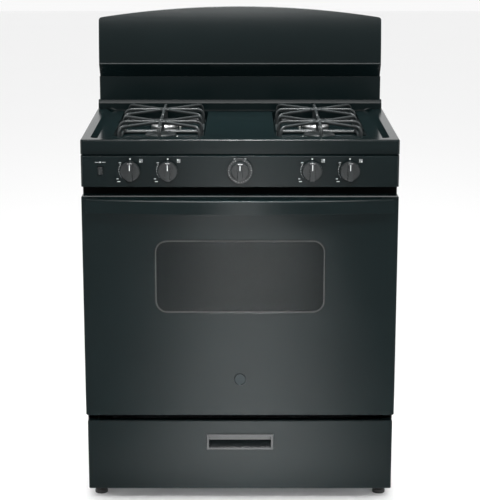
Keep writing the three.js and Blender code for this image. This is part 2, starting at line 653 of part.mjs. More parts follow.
function thermostat() {
  const half = THERMOSTAT_HALF;
  const rear = MANIFOLD_SETBACK - MANIFOLD_R - CLEAR;
  const body = block([-half, half], [VALVE_FRONT, rear], [KNOB_Z - half, KNOB_Z + half]);
  const bore = cylinder('y', STEM_R + STEM_SLIP, [VALVE_FRONT - PAST, BORE_END], 12);
  return piece('oven_thermostat', cut(body, bore.translate(0, 0, KNOB_Z)), 'aluminium');
}

// Rocker: two faces that meet at a shallow angle, lying with its lower half pressed in.
function lightSwitch() {
  const half = SWITCH_HEIGHT / 2;
  const rise = half * Math.tan(THREE.MathUtils.degToRad(SWITCH_TILT));
  const outline = [[-3 + rise, half], [-3, 0], [-3 + rise, -half], [8, -half * 0.6], [8, half * 0.6]];
  const rocker = prism(outline, 'x', [-SWITCH_WIDTH / 2, SWITCH_WIDTH / 2]);
  rocker.rotateX(THREE.MathUtils.degToRad(SWITCH_TILT));
  const mesh = piece('light_switch', rocker, 'blackPlastic');
  mesh.position.set(-SWITCH_X, PANEL_FACE, KNOB_Z);
  return mesh;
}

// ---------------------------------------------------------------- backguard

function guardPanel() {
  const rear = REAR_SHEET_Y - CLEAR;
  const inner = HALF_BODY - SHEET;
  const plan = [[-HALF_BODY, GUARD_Y], [HALF_BODY, GUARD_Y], [HALF_BODY, rear], [inner, rear]];
  plan.push([inner, GUARD_Y + SHEET], [-inner, GUARD_Y + SHEET], [-inner, rear], [-HALF_BODY, rear]);
  return piece('backguard_panel', prism(plan, 'z', [FASCIA_Z, SLOT_BOTTOM]), 'enamel');
}

// Arched outline of the shroud, seen from the front.
function shroudOutline(inset) {
  const half = SHROUD_HALF - inset;
  const crown = OVERALL_HEIGHT - inset;
  const r = (half * half + SHROUD_ARCH * SHROUD_ARCH) / (2 * SHROUD_ARCH);
  const sweep = Math.asin((half - SHROUD_CORNER) / r);
  const shape = new THREE.Shape();
  shape.moveTo(half, SHROUD_BOTTOM - VENT_HEIGHT - PAST);
  shape.lineTo(half, crown - SHROUD_ARCH - SHROUD_CORNER);
  shape.absarc(0, crown - r, r, Math.PI / 2 - sweep, Math.PI / 2 + sweep);
  shape.lineTo(-half, crown - SHROUD_ARCH - SHROUD_CORNER);
  shape.lineTo(-half, SHROUD_BOTTOM - VENT_HEIGHT - PAST);
  return shape;
}

function shroud() {
  const top = OVERALL_HEIGHT + PAST;
  const rise = top - SHROUD_BOTTOM;
  const lean = (SHROUD_LEAN * rise) / (OVERALL_HEIGHT - SHROUD_BOTTOM);
  const low = SLOT_BOTTOM + CLEAR;
  const wrap = [[SHROUD_FACE, SHROUD_BOTTOM], [SHROUD_FACE + lean, top], [BODY_DEPTH, top]];
  wrap.push([BODY_DEPTH, low], [GUARD_Y, low]);
  const across = [-HALF_TOP, HALF_TOP];
  const through = [0, BODY_DEPTH];
  const outside = common(prism(wrap, 'x', across), prism(shroudOutline(0), 'y', through, 12));
  const skin = SHROUD_FACE + SHEET;
  const back = BODY_DEPTH - SHEET;
  const hollow = [[skin, SLOT_BOTTOM - PAST], [skin, SHROUD_BOTTOM], [skin + lean, top], [back, top]];
  hollow.push([back, SLOT_BOTTOM - PAST]);
  const inside = common(prism(hollow, 'x', across), prism(shroudOutline(SHEET), 'y', through, 12));
  return piece('backguard_shroud', cut(outside, inside), 'enamel');
}

function deflector() {
  const half = DEFLECTOR_WIDTH / 2;
  const wide = half + 20;
  const y = GUARD_Y + SHEET + 2;
  const z = SLOT_BOTTOM + 12;
  const profile = [[y, z], [y + 1.5, z - 2], [y + 70, z + 12], [y + 70, z + 14], [y + 1.5, z + 1]];
  const plate = prism(profile, 'x', [-wide, wide]);
  const plan = [[-half, y - 1], [half, y - 1], [wide, y + 30], [wide, y + 75]];
  plan.push([-wide, y + 75], [-wide, y + 30]);
  return piece('vent_deflector', common(plate, prism(plan, 'z', [z - 20, z + 40])), 'darkPaint');
}

// ---------------------------------------------------------------- oven

function ovenLiner() {
  const w = OVEN_HALF + LINER;
  const low = OVEN_FLOOR - BURNER_BOX;
  const outer = block([-w, w], [OVEN_FRONT, OVEN_REAR + LINER], [low - LINER, OVEN_ROOF + LINER]);
  const inner = block([-OVEN_HALF, OVEN_HALF], [OVEN_FRONT - PAST, OVEN_REAR], [low, OVEN_ROOF]);
  const ledges = [];
  for (const level of [OVEN_FLOOR - SHEET - CLEAR, ...RACK_LEVELS]) {
    for (const [, side] of SIDES) {
      const x = [side * (OVEN_HALF - LEDGE_WIDTH), side * (OVEN_HALF + LINER / 2)].sort((a, b) => a - b);
      ledges.push(block(x, [OVEN_FRONT, OVEN_REAR - LEDGE_WIDTH], [level - LEDGE_HEIGHT, level]));
    }
  }
  return piece('oven_liner', join(cut(outer, inner), ...ledges), 'greyEnamel');
}

function ovenBottom() {
  const w = OVEN_HALF - CLEAR;
  const plate = block([-w, w], [OVEN_FRONT + CLEAR, OVEN_REAR - CLEAR], [OVEN_FLOOR - SHEET, OVEN_FLOOR]);
  const slots = SIDES.map(([, side]) => {
    const x = side * (w - 35);
    const z = [OVEN_FLOOR - SHEET - PAST, OVEN_FLOOR + PAST];
    return block([x - 6, x + 6], [OVEN_FRONT + 60, OVEN_REAR - 60], z);
  });
  return piece('oven_bottom', cut(plate, ...slots), 'greyEnamel');
}

function ovenBurner() {
  const z = OVEN_FLOOR - BURNER_BOX / 2 - SHEET;
  const tube = cylinder('y', OVEN_BURNER_R, [OVEN_FRONT + 50, OVEN_REAR - 70], 12);
  return piece('oven_burner', tube.translate(0, 0, z), 'steel');
}

function rack(name, level) {
  const r = RACK_ROD / 2;
  const z = level + CLEAR + r;
  const halfX = MOUTH_HALF - 2 * r;
  const y0 = DOOR_BACK + RACK_PLAY + r;
  const y1 = OVEN_REAR - LEDGE_WIDTH - r;
  const corners = [vec(-halfX, y0, z), vec(halfX, y0, z), vec(halfX, y1, z), vec(-halfX, y1, z)];
  const rods = [];
  for (let i = 0; i < corners.length; i += 1) {
    rods.push(rodBetween(corners[i], corners[(i + 1) % corners.length], RACK_ROD));
    rods.push(ball(corners[i], r));
  }
  for (let i = 1; i <= RACK_WIRES; i += 1) {
    const x = -halfX + (2 * halfX * i) / (RACK_WIRES + 1);
    rods.push(rodBetween(vec(x, y0, z + 1), vec(x, y1, z + 1), RACK_WIRE));
  }
  const middle = (y0 + y1) / 2;
  rods.push(rodBetween(vec(-halfX, middle, z), vec(halfX, middle, z), RACK_ROD - 1));
  return piece(name, join(...rods), 'steel');
}

function lampLens() {
  const r = LAMP_R;
  const outline = [[0, 0], [r, 0], [r, 4], [r - 4, 12], [r - 12, 16], [0, 17]];
  const mesh = piece('oven_lamp_lens', turned(outline, 14), 'clearGlass');
  mesh.rotation.x = Math.PI / 2;
  mesh.position.set(OVEN_HALF - LAMP_SIDE, OVEN_REAR - CLEAR, OVEN_ROOF - LAMP_DROP);
  return mesh;
}

// ---------------------------------------------------------------- door

function windowOutline(grow) {
  const half = WINDOW_WIDTH / 2 + grow;
  const rise = WINDOW_HEIGHT / 2 + grow;
  return roundedRect([-half, half], [WINDOW_Z - rise, WINDOW_Z + rise], WINDOW_CORNER + grow);
}

function hingeSlots([y0, y1], [z0, z1]) {
  const half = HINGE_ARM / 2 + 2;
  return SIDES.map(([, side]) => block([side * HINGE_X - half, side * HINGE_X + half], [y0, y1], [z0, z1]));
}

function doorPanel() {
  const outline = roundedRect([-DOOR_HALF, DOOR_HALF], [DOOR_BOTTOM, DOOR_TOP], 4);
  const box = prism(outline, 'y', [-DOOR_REACH, DOOR_BACK], 3);
  const inner = DOOR_HALF - SHEET;
  const z = [DOOR_BOTTOM + SHEET, DOOR_TOP - SHEET];
  const hollow = block([-inner, inner], [SHEET - DOOR_REACH, DOOR_BACK + PAST], z);
  const hole = prism(windowOutline(0), 'y', [-DOOR_REACH - PAST, SHEET - DOOR_REACH + PAST], 6);
  const slotZ = [DOOR_BOTTOM - PAST, DOOR_BOTTOM + PAST];
  const slots = hingeSlots([HINGE_SETBACK - 14, DOOR_BACK + PAST], slotZ);
  return piece('door_panel', cut(box, hollow, hole, ...slots), 'enamel');
}

function doorGlass() {
  const front = SHEET - DOOR_REACH + CLEAR;
  const pane = prism(windowOutline(GLASS_LAP), 'y', [front, front + GLASS_THICK], 4);
  return piece('door_glass', pane, 'glass');
}

// The inner panel carries two ears on each side of each hinge arm, bored for the arm's pin.
function doorInnerPanel() {
  const half = DOOR_HALF - SHEET - CLEAR;
  const y1 = DOOR_BACK - CLEAR;
  const y0 = y1 - SHEET;
  const z = [DOOR_BOTTOM + SHEET + CLEAR, DOOR_TOP - SHEET - CLEAR];
  const plate = block([-half, half], [y0, y1], z);
  const ears = [];
  for (const [, side] of SIDES) {
    for (const edge of [-1, 1]) {
      const x = side * HINGE_X + edge * (HINGE_ARM / 2 + 4);
      const nose = HINGE_SETBACK - 6;
      const ear = [[y0 + 1, HINGE_Z + 20], [y0 + 1, z[0]], [nose, z[0]], [nose, HINGE_Z + 8]];
      ears.push(prism(ear, 'x', [x - 1.5, x + 1.5]));
    }
  }
  const hole = prism(windowOutline(-INNER_WINDOW_INSET), 'y', [y0 - PAST, y1 + PAST], 4);
  const slots = hingeSlots([HINGE_SETBACK - PAST, y1 + PAST], [z[0] - PAST, HINGE_Z + 14]);
  const pinHoles = SIDES.map(([, side]) => {
    const x = side * HINGE_X;
    const bore = cylinder('x', HINGE_PIN_R + CLEAR, [x - 15, x + 15], 12);
    return bore.translate(0, HINGE_SETBACK, HINGE_Z);
  });
  return piece('door_inner_panel', cut(join(plate, ...ears), hole, ...slots, ...pinHoles), 'greyEnamel');
}

function doorInnerGlass() {
  const back = DOOR_BACK - SHEET - 2 * CLEAR;
  const outline = windowOutline(GLASS_LAP - INNER_WINDOW_INSET);
  return piece('door_inner_glass', prism(outline, 'y', [back - GLASS_THICK, back], 4), 'glass');
}

function gasket() {
  const y = [DOOR_BACK, FRAME_SETBACK - CLEAR];
  const lap = GASKET_LAP;
  const far = lap + GASKET_WIDTH;
  const halfFar = MOUTH_HALF + far;
  const halfLap = MOUTH_HALF + lap;
  const outer = roundedRect([-halfFar, halfFar], [OVEN_FLOOR - far, MOUTH_TOP + far], 20);
  const inner = roundedRect([-halfLap, halfLap], [OVEN_FLOOR - lap, MOUTH_TOP + lap], 8);
  const bore = prism(inner, 'y', [y[0] - PAST, y[1] + PAST], 3);
  return piece('door_gasket', cut(prism(outer, 'y', y, 3), bore), 'rubber');
}

function badge() {
  const outline = [[0, 0], [BADGE_R, 0], [BADGE_R, 2], [BADGE_R - 2, 2.5], [BADGE_R - 3, 1.5], [0, 1.5]];
  const mesh = piece('door_badge', turned(outline, 24), 'badge');
  mesh.rotation.x = Math.PI / 2;
  mesh.position.set(0, -DOOR_REACH - CLEAR, DOOR_BOTTOM + BADGE_RISE);
  return mesh;
}

function hingeArm(name, side) {
  const head = new THREE.Shape();
  const rear = FRAME_SETBACK + SHEET + 30;
  head.moveTo(rear, HINGE_Z + 7);
  head.absarc(HINGE_SETBACK, HINGE_Z, 7, Math.PI / 2, 1.5 * Math.PI);
  head.lineTo(rear, HINGE_Z - 7);
  const x = side * HINGE_X;
  const arm = prism(head, 'x', [x - HINGE_ARM / 2, x + HINGE_ARM / 2], 6);
  const pin = cylinder('x', HINGE_PIN_R, [x - 9, x + 9], 12).translate(0, HINGE_SETBACK, HINGE_Z);
  return piece(name, join(arm, pin), 'steel');
}

// Bowed band with a post at each end, standing off the door.
function handle() {
  const half = DOOR_HALF - HANDLE_INSET;
  const r = (half * half + HANDLE_BOW * HANDLE_BOW) / (2 * HANDLE_BOW);
  const sweep = Math.asin(half / r);
  const top = DOOR_TOP - HANDLE_DROP;
  const centre = r - HANDLE_REACH;
  const band = new THREE.Shape();
  band.absarc(0, centre, r, -Math.PI / 2 - sweep, -Math.PI / 2 + sweep, false);
  band.absarc(0, centre, r - HANDLE_THICK, -Math.PI / 2 + sweep, -Math.PI / 2 - sweep, true);
  const z = [top - HANDLE_HEIGHT, top];
  const rear = -DOOR_REACH - CLEAR;
  const posts = SIDES.map(([, side]) => {
    const outer = half - 3;
    const x = [side * outer, side * (outer - HANDLE_POST)].sort((a, b) => a - b);
    const front = HANDLE_BOW - HANDLE_REACH + HANDLE_THICK / 2;
    return block(x, [front, rear], [z[0] + 3, z[1] - 3]);
  });
  return piece('door_handle', join(prism(band, 'z', z, 10), ...posts), 'blackPlastic');
}

// ---------------------------------------------------------------- drawer

const PULL_TOP = DRAWER_TOP - PULL_DROP;

function drawerFront() {
  const y = [-DRAWER_REACH, DRAWER_THICK - DRAWER_REACH];
  const outline = roundedRect([-DRAWER_HALF, DRAWER_HALF], [KICK_HEIGHT, DRAWER_TOP], 3);
  const inner = DRAWER_HALF - SHEET;
  const z = [KICK_HEIGHT + SHEET, DRAWER_TOP - SHEET];
  const hollow = block([-inner, inner], [y[0] + SHEET, y[1] + PAST], z);
  const half = PULL_WIDTH / 2 + CLEAR;
  const holeZ = [PULL_TOP - PULL_HEIGHT - CLEAR, PULL_TOP + CLEAR];
  const hole = block([-half, half], [y[0] - PAST, y[0] + SHEET + PAST], holeZ);
  return piece('drawer_front', cut(prism(outline, 'y', y, 3), hollow, hole), 'enamel');
}

// Pull insert: a shallow cup with a sloped lower lip.
function drawerPull() {
  const half = PULL_WIDTH / 2;
  const front = -DRAWER_REACH - 1.5;
  const back = DRAWER_THICK - DRAWER_REACH - CLEAR;
  const low = PULL_TOP - PULL_HEIGHT;
  const body = block([-half, half], [front, back], [low, PULL_TOP]);
  const floor = back - SHEET;
  const brow = PULL_TOP - PULL_FRAME;
  const mouth = [[front - PAST, low + PULL_FRAME - 2], [front, low + PULL_FRAME]];
  mouth.push([floor, low + PULL_HEIGHT / 2]);
  mouth.push([floor, brow + PULL_FRAME / 2], [front, brow], [front - PAST, brow]);
  const cup = prism(mouth, 'x', [PULL_FRAME - half, half - PULL_FRAME]);
  return piece('drawer_pull', cut(body, cup), 'blackPlastic');
}

function drawerBox() {
  const y = [DRAWER_THICK - DRAWER_REACH + CLEAR, BODY_DEPTH - TRAY_REAR];
  const top = TRAY_BOTTOM + TRAY_HEIGHT;
  const outer = block([-TRAY_HALF, TRAY_HALF], y, [TRAY_BOTTOM, top]);
  const inner = TRAY_HALF - LINER;
  const hollowZ = [TRAY_BOTTOM + LINER, top + PAST];
  const hollow = block([-inner, inner], [y[0] + LINER, y[1] - LINER], hollowZ);
  const run = TRAY_BOTTOM + RAIL_RISE;
  const runners = SIDES.map(([, side]) => {
    const x = [side * (TRAY_HALF - LINER / 2), side * (TRAY_HALF + RUNNER_WIDTH)].sort((a, b) => a - b);
    return block(x, [y[0] + FRAME_SETBACK, y[1]], [run + CLEAR, run + CLEAR + SHEET]);
  });
  return piece('drawer_box', join(cut(outer, hollow), ...runners), 'steel');
}

function drawerRail(name, side) {
  const run = TRAY_BOTTOM + RAIL_RISE;
  const far = INSIDE_HALF;
  const near = TRAY_HALF + CLEAR;
  const profile = [[near, run], [near, run - SHEET], [far - SHEET, run - SHEET], [far - SHEET, run - 15]];
  profile.push([far, run - 15], [far, run + 15], [far - SHEET, run + 15], [far - SHEET, run]);
  const outline = profile.map(([x, z]) => [side * x, z]);
  const y = [FRAME_SETBACK + SHEET + CLEAR, BODY_DEPTH - TRAY_REAR + 20];
  return piece(name, prism(outline, 'y', y), 'steel');
}

// ---------------------------------------------------------------- assembly

const range = new THREE.Group();
range.name = 'gas_range';
range.position.y = (HANDLE_REACH - BODY_DEPTH) / 2;

for (const [sideName, side] of SIDES) {
  range.add(sidePanel(`side_panel_${sideName}`, side), hingeArm(`hinge_arm_${sideName}`, side));
  range.add(drawerRail(`drawer_rail_${sideName}`, side));
  for (const [rowName, row] of ROWS) range.add(burnerSet(sideName, side, rowName, row));
}
range.add(basePan(), ...footPlaces().map(foot), rearPanel(), gasInlet(), frontFrame());
range.add(cooktop(), controlPanel(), manifold(), thermostat(), lightSwitch());
for (const place of knobPlaces()) range.add(stem(place), knob(place));
range.add(guardPanel(), shroud(), deflector());
range.add(ovenLiner(), ovenBottom(), ovenBurner(), lampLens());
range.add(rack('oven_rack_upper', RACK_LEVELS[UPPER_RACK]), rack('oven_rack_lower', RACK_LEVELS[0]));
range.add(doorPanel(), doorGlass(), doorInnerPanel(), doorInnerGlass(), gasket(), badge(), handle());
range.add(drawerFront(), drawerPull(), drawerBox());

export default range;
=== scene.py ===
"""Looks of a freestanding gas range: enamelled panels, cast grates, knobs, oven and drawer.

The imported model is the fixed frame. Every size here is in metres, in the frame's own axes: +Z up, the
front faces -Y, the origin is the middle of the footprint on the floor.
"""

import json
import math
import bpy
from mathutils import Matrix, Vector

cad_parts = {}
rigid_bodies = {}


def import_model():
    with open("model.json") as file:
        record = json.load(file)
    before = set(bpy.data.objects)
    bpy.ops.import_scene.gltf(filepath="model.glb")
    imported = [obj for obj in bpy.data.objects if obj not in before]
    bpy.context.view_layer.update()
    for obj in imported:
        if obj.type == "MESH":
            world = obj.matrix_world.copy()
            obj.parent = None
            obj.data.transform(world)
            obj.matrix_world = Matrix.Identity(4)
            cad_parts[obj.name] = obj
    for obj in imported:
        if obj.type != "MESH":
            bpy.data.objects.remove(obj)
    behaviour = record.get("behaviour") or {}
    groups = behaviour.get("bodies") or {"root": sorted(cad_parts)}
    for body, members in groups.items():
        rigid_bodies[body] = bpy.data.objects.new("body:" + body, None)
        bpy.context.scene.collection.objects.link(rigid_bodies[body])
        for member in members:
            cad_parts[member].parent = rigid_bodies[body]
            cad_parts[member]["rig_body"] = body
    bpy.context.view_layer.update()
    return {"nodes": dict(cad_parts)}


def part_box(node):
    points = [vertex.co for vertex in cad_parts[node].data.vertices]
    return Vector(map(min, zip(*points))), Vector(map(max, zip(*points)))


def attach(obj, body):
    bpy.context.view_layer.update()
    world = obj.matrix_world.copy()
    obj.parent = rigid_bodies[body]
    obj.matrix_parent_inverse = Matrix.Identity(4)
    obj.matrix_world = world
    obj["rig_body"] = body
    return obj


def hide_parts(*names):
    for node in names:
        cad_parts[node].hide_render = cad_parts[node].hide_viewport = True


bl_info = {
    "name": "Gas range looks",
    "version": (1, 0, 0),
    "blender": (4, 5, 0),
    "location": "View3D > Sidebar > Range",
    "description": "Builds the finished surfaces, small parts, materials and studio of a gas range",
    "category": "Object",
}

import bmesh
import bpy
from bpy.props import FloatProperty, FloatVectorProperty, IntProperty, PointerProperty
from mathutils import Matrix, Vector

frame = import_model()

MM = 0.001
X, Y, Z = Vector((1, 0, 0)), Vector((0, 1, 0)), Vector((0, 0, 1))
SIDES = (("left", -1), ("right", 1))
ROWS = ("front", "rear")
PLACES = [f"{row}_{side}" for side, _ in SIDES for row in ROWS]
KNOBS = ("burner_1", "burner_2", "oven", "burner_3", "burner_4")


def span(node):
    """Lowest corner, highest corner and middle of a frame node."""
    low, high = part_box(node)
    return low, high, (low + high) / 2


# ---------------------------------------------------------------- settings


def length(name, description, default_mm, top_mm=100.0):
    """A length property that is given here in millimetres."""
    return FloatProperty(
        name=name, description=description, default=default_mm * MM, min=0.0, max=top_mm * MM,
        precision=5, unit="LENGTH", subtype="DISTANCE",
    )


def shade(name, description, default):
    """A colour property in linear light."""
    return FloatVectorProperty(
        name=name, description=description, default=default, min=0.0, max=1.0, size=3, subtype="COLOR"
    )


def share(name, description, default, top=1.0):
    """A plain number between nothing and its top."""
    return FloatProperty(
        name=name, description=description, default=default, min=0.0, max=top, subtype="FACTOR"
    )


class RangeShapes(bpy.types.PropertyGroup):
    door_edge: length("Door edge", "Rounding of the door skin's outline", 3.2)
    guard_edge: length("Backguard edge", "Rounding of the backguard cover's front outline", 6.0)
    rim_edge: length("Cooktop edge", "Rounding of the cooktop's outer edges", 4.0)
    well_edge: length("Well edge", "Rounding where the burner wells meet the cooktop floor", 3.0)
    window_edge: length("Window edge", "Rounding of the sheet round the oven window", 1.6)
    grate_voxel: length("Grate grain", "Cell size in which the grate's bars are fused together", 1.25)
    knob_flutes: IntProperty(
        name="Knob ribs", description="Fine ribs round each knob", default=40, min=8, max=90
    )
    burner_ports: IntProperty(
        name="Burner ports", description="Flame ports round each burner", default=28, min=8, max=60
    )
    dial_marks: IntProperty(
        name="Dial marks", description="Marks round the oven dial", default=26, min=6, max=60
    )


class RangeColours(bpy.types.PropertyGroup):
    enamel: shade("Enamel", "Glossy black enamel of the cooktop and the front", (0.0026, 0.0056, 0.0060))
    paint: shade("Side paint", "Satin black paint of the cabinet", (0.011, 0.013, 0.0135))
    cast: shade("Cast iron", "Enamelled cast iron of grates and burner caps", (0.013, 0.0155, 0.016))
    plastic: shade("Plastic", "Moulded black plastic parts", (0.0045, 0.0065, 0.007))
    marking: shade("Markings", "Printed marks and pointer lines", (0.55, 0.57, 0.57))
    aluminium: shade("Aluminium", "Cast burner bases", (0.72, 0.73, 0.73))
    oven: shade("Oven enamel", "Speckled enamel inside the oven", (0.022, 0.024, 0.027))
    enamel_gloss: share("Enamel roughness", "Roughness of the enamel", 0.17)
    plastic_gloss: share("Plastic roughness", "Roughness of the plastic", 0.26)
    glass_tint: share("Window tint", "How much of the light the oven window stops", 0.8)


class RangeStage(bpy.types.PropertyGroup):
    eye_height: length("Eye height", "Height of the camera above the floor", 1540, 5000)
    eye_distance: length("Eye distance", "Camera to the cooktop's front edge", 3787, 20000)
    tilt: FloatProperty(
        name="Tilt", description="How far the camera looks down",
        default=math.radians(13.3), subtype="ANGLE"
    )
    lens: FloatProperty(
        name="Lens", description="Focal length", default=116.0, min=20.0, max=400.0, unit="CAMERA"
    )
    floor: shade("Floor", "Pale studio floor", (0.93, 0.93, 0.93))
    surround: share("Surround", "Brightness of the white room", 0.95, 4.0)
    key_power: FloatProperty(
        name="Front light", description="Soft light over the floor ahead of the range",
        default=72.0, unit="POWER"
    )
    high_power: FloatProperty(
        name="High light", description="Soft light high in front", default=14.0, unit="POWER"
    )
    side_power: FloatProperty(
        name="Side lights", description="Tall soft light on each side", default=24.0, unit="POWER"
    )
    top_power: FloatProperty(
        name="Top light", description="Soft light above the range", default=6.5, unit="POWER"
    )


def shapes():
    return bpy.context.scene.range_shapes


def colours():
    return bpy.context.scene.range_colours


def stage_settings():
    return bpy.context.scene.range_stage


# ---------------------------------------------------------------- shader maths


class Value:
    """A shader socket that Python's own signs can work on."""

    def __init__(self, finish, socket):
        self.finish = finish
        self.socket = socket

    def math(self, operation, *others):
        sockets = {i: value for i, value in enumerate(others)}
        return self.finish.node("ShaderNodeMath", {"operation": operation}, sockets)[0]

    def __add__(self, other):
        return self.math("ADD", self, other)

    def __mul__(self, other):
        return self.math("MULTIPLY", self, other)

    __radd__ = __add__
    __rmul__ = __mul__


class Finish:
    """A node material that is built up by small steps."""

    def __init__(self, name):
        self.material = bpy.data.materials.new(name)
        self.material.use_nodes = True
        self.tree = self.material.node_tree
        self.tree.nodes.clear()
        self.place = self.node("ShaderNodeTexCoord", {}, {})[3]

    def node(self, kind, settings, sockets):
        """Adds a node, sets it, then gives its sockets values or links. Returns its outputs."""
        made = self.tree.nodes.new(kind)
        for key, value in settings.items():
            if key == "stops":
                self.set_stops(made.color_ramp, value)
            else:
                setattr(made, key, value)
        for key, value in sockets.items():
            if isinstance(value, Value):
                self.tree.links.new(value.socket, made.inputs[key])
            else:
                made.inputs[key].default_value = value
        return [Value(self, socket) for socket in made.outputs]

    @staticmethod
    def set_stops(ramp, stops):
        while len(ramp.elements) < len(stops):
            ramp.elements.new(0.5)
        for element, (at, grey) in zip(ramp.elements, stops):
            element.position = at
            element.color = (grey, grey, grey, 1.0)

    def noise(self, scale, detail=2.0, roughness=0.5, stretch=(1, 1, 1)):
        """Grains of about 1 / scale metres, stretched along the axes."""
        mapped = self.node("ShaderNodeMapping", {}, {"Vector": self.place, "Scale": stretch})[0]
        sockets = {"Vector": mapped, "Scale": scale, "Detail": detail, "Roughness": roughness}
        return self.node("ShaderNodeTexNoise", {}, sockets)[0]

    def cells(self, scale, feature="F1"):
        sockets = {"Vector": self.place, "Scale": scale}
        return self.node("ShaderNodeTexVoronoi", {"feature": feature}, sockets)

    def ramp(self, factor, *stops):
        return self.node("ShaderNodeValToRGB", {"stops": stops}, {"Fac": factor})[0]

    def mix(self, factor, first, second):
        """A colour between two colours."""
        sockets = {0: factor, 6: colour4(first), 7: colour4(second)}
        return self.node("ShaderNodeMix", {"data_type": "RGBA"}, sockets)[2]

    def bump(self, height, strength, distance, under=None):
        sockets = {"Height": height, "Strength": strength, "Distance": distance}
        if under is not None:
            sockets["Normal"] = under
        return self.node("ShaderNodeBump", {}, sockets)[0]

    def surface(self, **sockets):
        """Ends the material in a principled surface. A socket's name has _ for each space."""
        named = {key.replace("_", " "): colour4(value) for key, value in sockets.items()}
        shader = self.node("ShaderNodeBsdfPrincipled", {}, named)[0]
        self.node("ShaderNodeOutputMaterial", {}, {"Surface": shader})
        return self.material


def colour4(value):
    """Three colour numbers with their alpha, and anything else as it is."""
    if isinstance(value, (Value, int, float)) or len(value) == 4:
        return value
    return (*value, 1.0)


def scaled(colour, factor):
    return tuple(min(1.0, part * factor) for part in colour)


def enamel():
    """Fired gloss enamel: a faint orange peel, slow waves and a little dust in the gloss."""
    f = Finish("gloss_enamel")
    base = colours().enamel
    cloud = f.noise(5.0, 3.0)
    dust = f.ramp(f.noise(620.0, 4.0, 0.7), (0.60, 0.0), (0.78, 1.0))
    tone = f.mix(cloud, scaled(base, 0.86), scaled(base, 1.16))
    tone = f.mix(dust * 0.03, tone, (0.10, 0.11, 0.11))
    peel = f.bump(f.noise(420.0, 1.0), 0.05, 0.4 * MM)
    waves = f.bump(f.noise(9.0, 0.0), 0.08, 2.5 * MM, peel)
    rough = cloud * 0.05 + dust * 0.12 + (colours().enamel_gloss - 0.025)
    return f.surface(Base_Color=tone, Roughness=rough, Normal=waves, Specular_IOR_Level=0.10)


def satin_paint():
    """Baked satin paint on the cabinet: fine pebble and slight rub marks."""
    f = Finish("satin_paint")
    base = colours().paint
    rub = f.ramp(f.noise(34.0, 5.0, 0.65, (1, 1, 0.12)), (0.55, 0.0), (0.75, 1.0))
    tone = f.mix(f.noise(7.0, 2.0), scaled(base, 0.85), scaled(base, 1.2))
    tone = f.mix(rub * 0.10, tone, (0.06, 0.065, 0.065))
    pebble = f.bump(f.noise(900.0, 2.0), 0.16, 0.25 * MM)
    return f.surface(Base_Color=tone, Roughness=rub * 0.08 + 0.38, Normal=pebble)


def cast_enamel(name, colour, gloss):
    """Enamelled cast iron: a coarse skin of sand casting under a matt coat."""
    f = Finish(name)
    grain = f.noise(520.0, 4.0, 0.6)
    pits = f.cells(240.0)[0]
    tone = f.mix(grain, scaled(colour, 0.7), scaled(colour, 1.5))
    skin = f.bump(grain, 0.45, 0.35 * MM)
    skin = f.bump(pits, 0.18, 0.3 * MM, skin)
    return f.surface(Base_Color=tone, Roughness=grain * 0.18 + gloss, Normal=skin, Specular_IOR_Level=0.22)


def plastic():
    """Moulded plastic with a fine spark-eroded grain."""
    f = Finish("moulded_plastic")
    base = colours().plastic
    grain = f.noise(1500.0, 2.0, 0.6)
    tone = f.mix(f.noise(60.0, 2.0), scaled(base, 0.85), scaled(base, 1.2))
    return f.surface(
        Base_Color=tone, Roughness=grain * 0.10 + (colours().plastic_gloss - 0.05),
        Normal=f.bump(grain, 0.10, 0.12 * MM), Specular_IOR_Level=0.3,
    )


def printed_mark():
    """Screen-printed pale ink, slightly thin in places."""
    f = Finish("printed_mark")
    thin = f.noise(2600.0, 3.0)
    tone = f.mix(thin, scaled(colours().marking, 0.75), scaled(colours().marking, 1.15))
    return f.surface(Base_Color=tone, Roughness=0.5, Normal=f.bump(thin, 0.1, 0.05 * MM))


def metal(name, colour, rough, brushed=(1, 1, 1), scale=700.0):
    """Bare metal with brushed or grained roughness and slight tarnish."""
    f = Finish(name)
    grain = f.noise(scale, 3.0, 0.6, brushed)
    tarnish = f.ramp(f.noise(45.0, 4.0), (0.4, 0.0), (0.8, 1.0))
    tone = f.mix(tarnish * 0.5, colour, scaled(colour, 0.68))
    return f.surface(
        Base_Color=tone, Metallic=1.0, Roughness=grain * 0.16 + tarnish * 0.08 + rough,
        Normal=f.bump(grain, 0.12, 0.12 * MM),
    )


def galvanised():
    """Zinc coated sheet with its spangle of crystals."""
    f = Finish("galvanised_sheet")
    crystal = f.cells(85.0)
    facet = f.ramp(f.node("ShaderNodeSeparateColor", {}, {"Color": crystal[1]})[0], (0.0, 0.0), (1.0, 1.0))
    tone = f.mix(facet, (0.36, 0.37, 0.38), (0.52, 0.53, 0.54))
    return f.surface(
        Base_Color=tone, Metallic=1.0, Roughness=facet * 0.14 + 0.34,
        Normal=f.bump(f.noise(300.0), 0.1, 0.2 * MM),
    )


def speckled_enamel():
    """Oven enamel: dark grey-blue with fine pale flecks."""
    f = Finish("oven_enamel")
    base = colours().oven
    flecks = f.ramp(f.noise(900.0, 3.0, 0.75), (0.62, 0.0), (0.68, 1.0))
    tone = f.mix(flecks, f.mix(f.noise(12.0), scaled(base, 0.8), scaled(base, 1.25)), (0.32, 0.33, 0.34))
    return f.surface(
        Base_Color=tone, Roughness=f.noise(40.0) * 0.12 + 0.28,
        Normal=f.bump(f.noise(400.0, 1.0), 0.06, 0.3 * MM),
    )


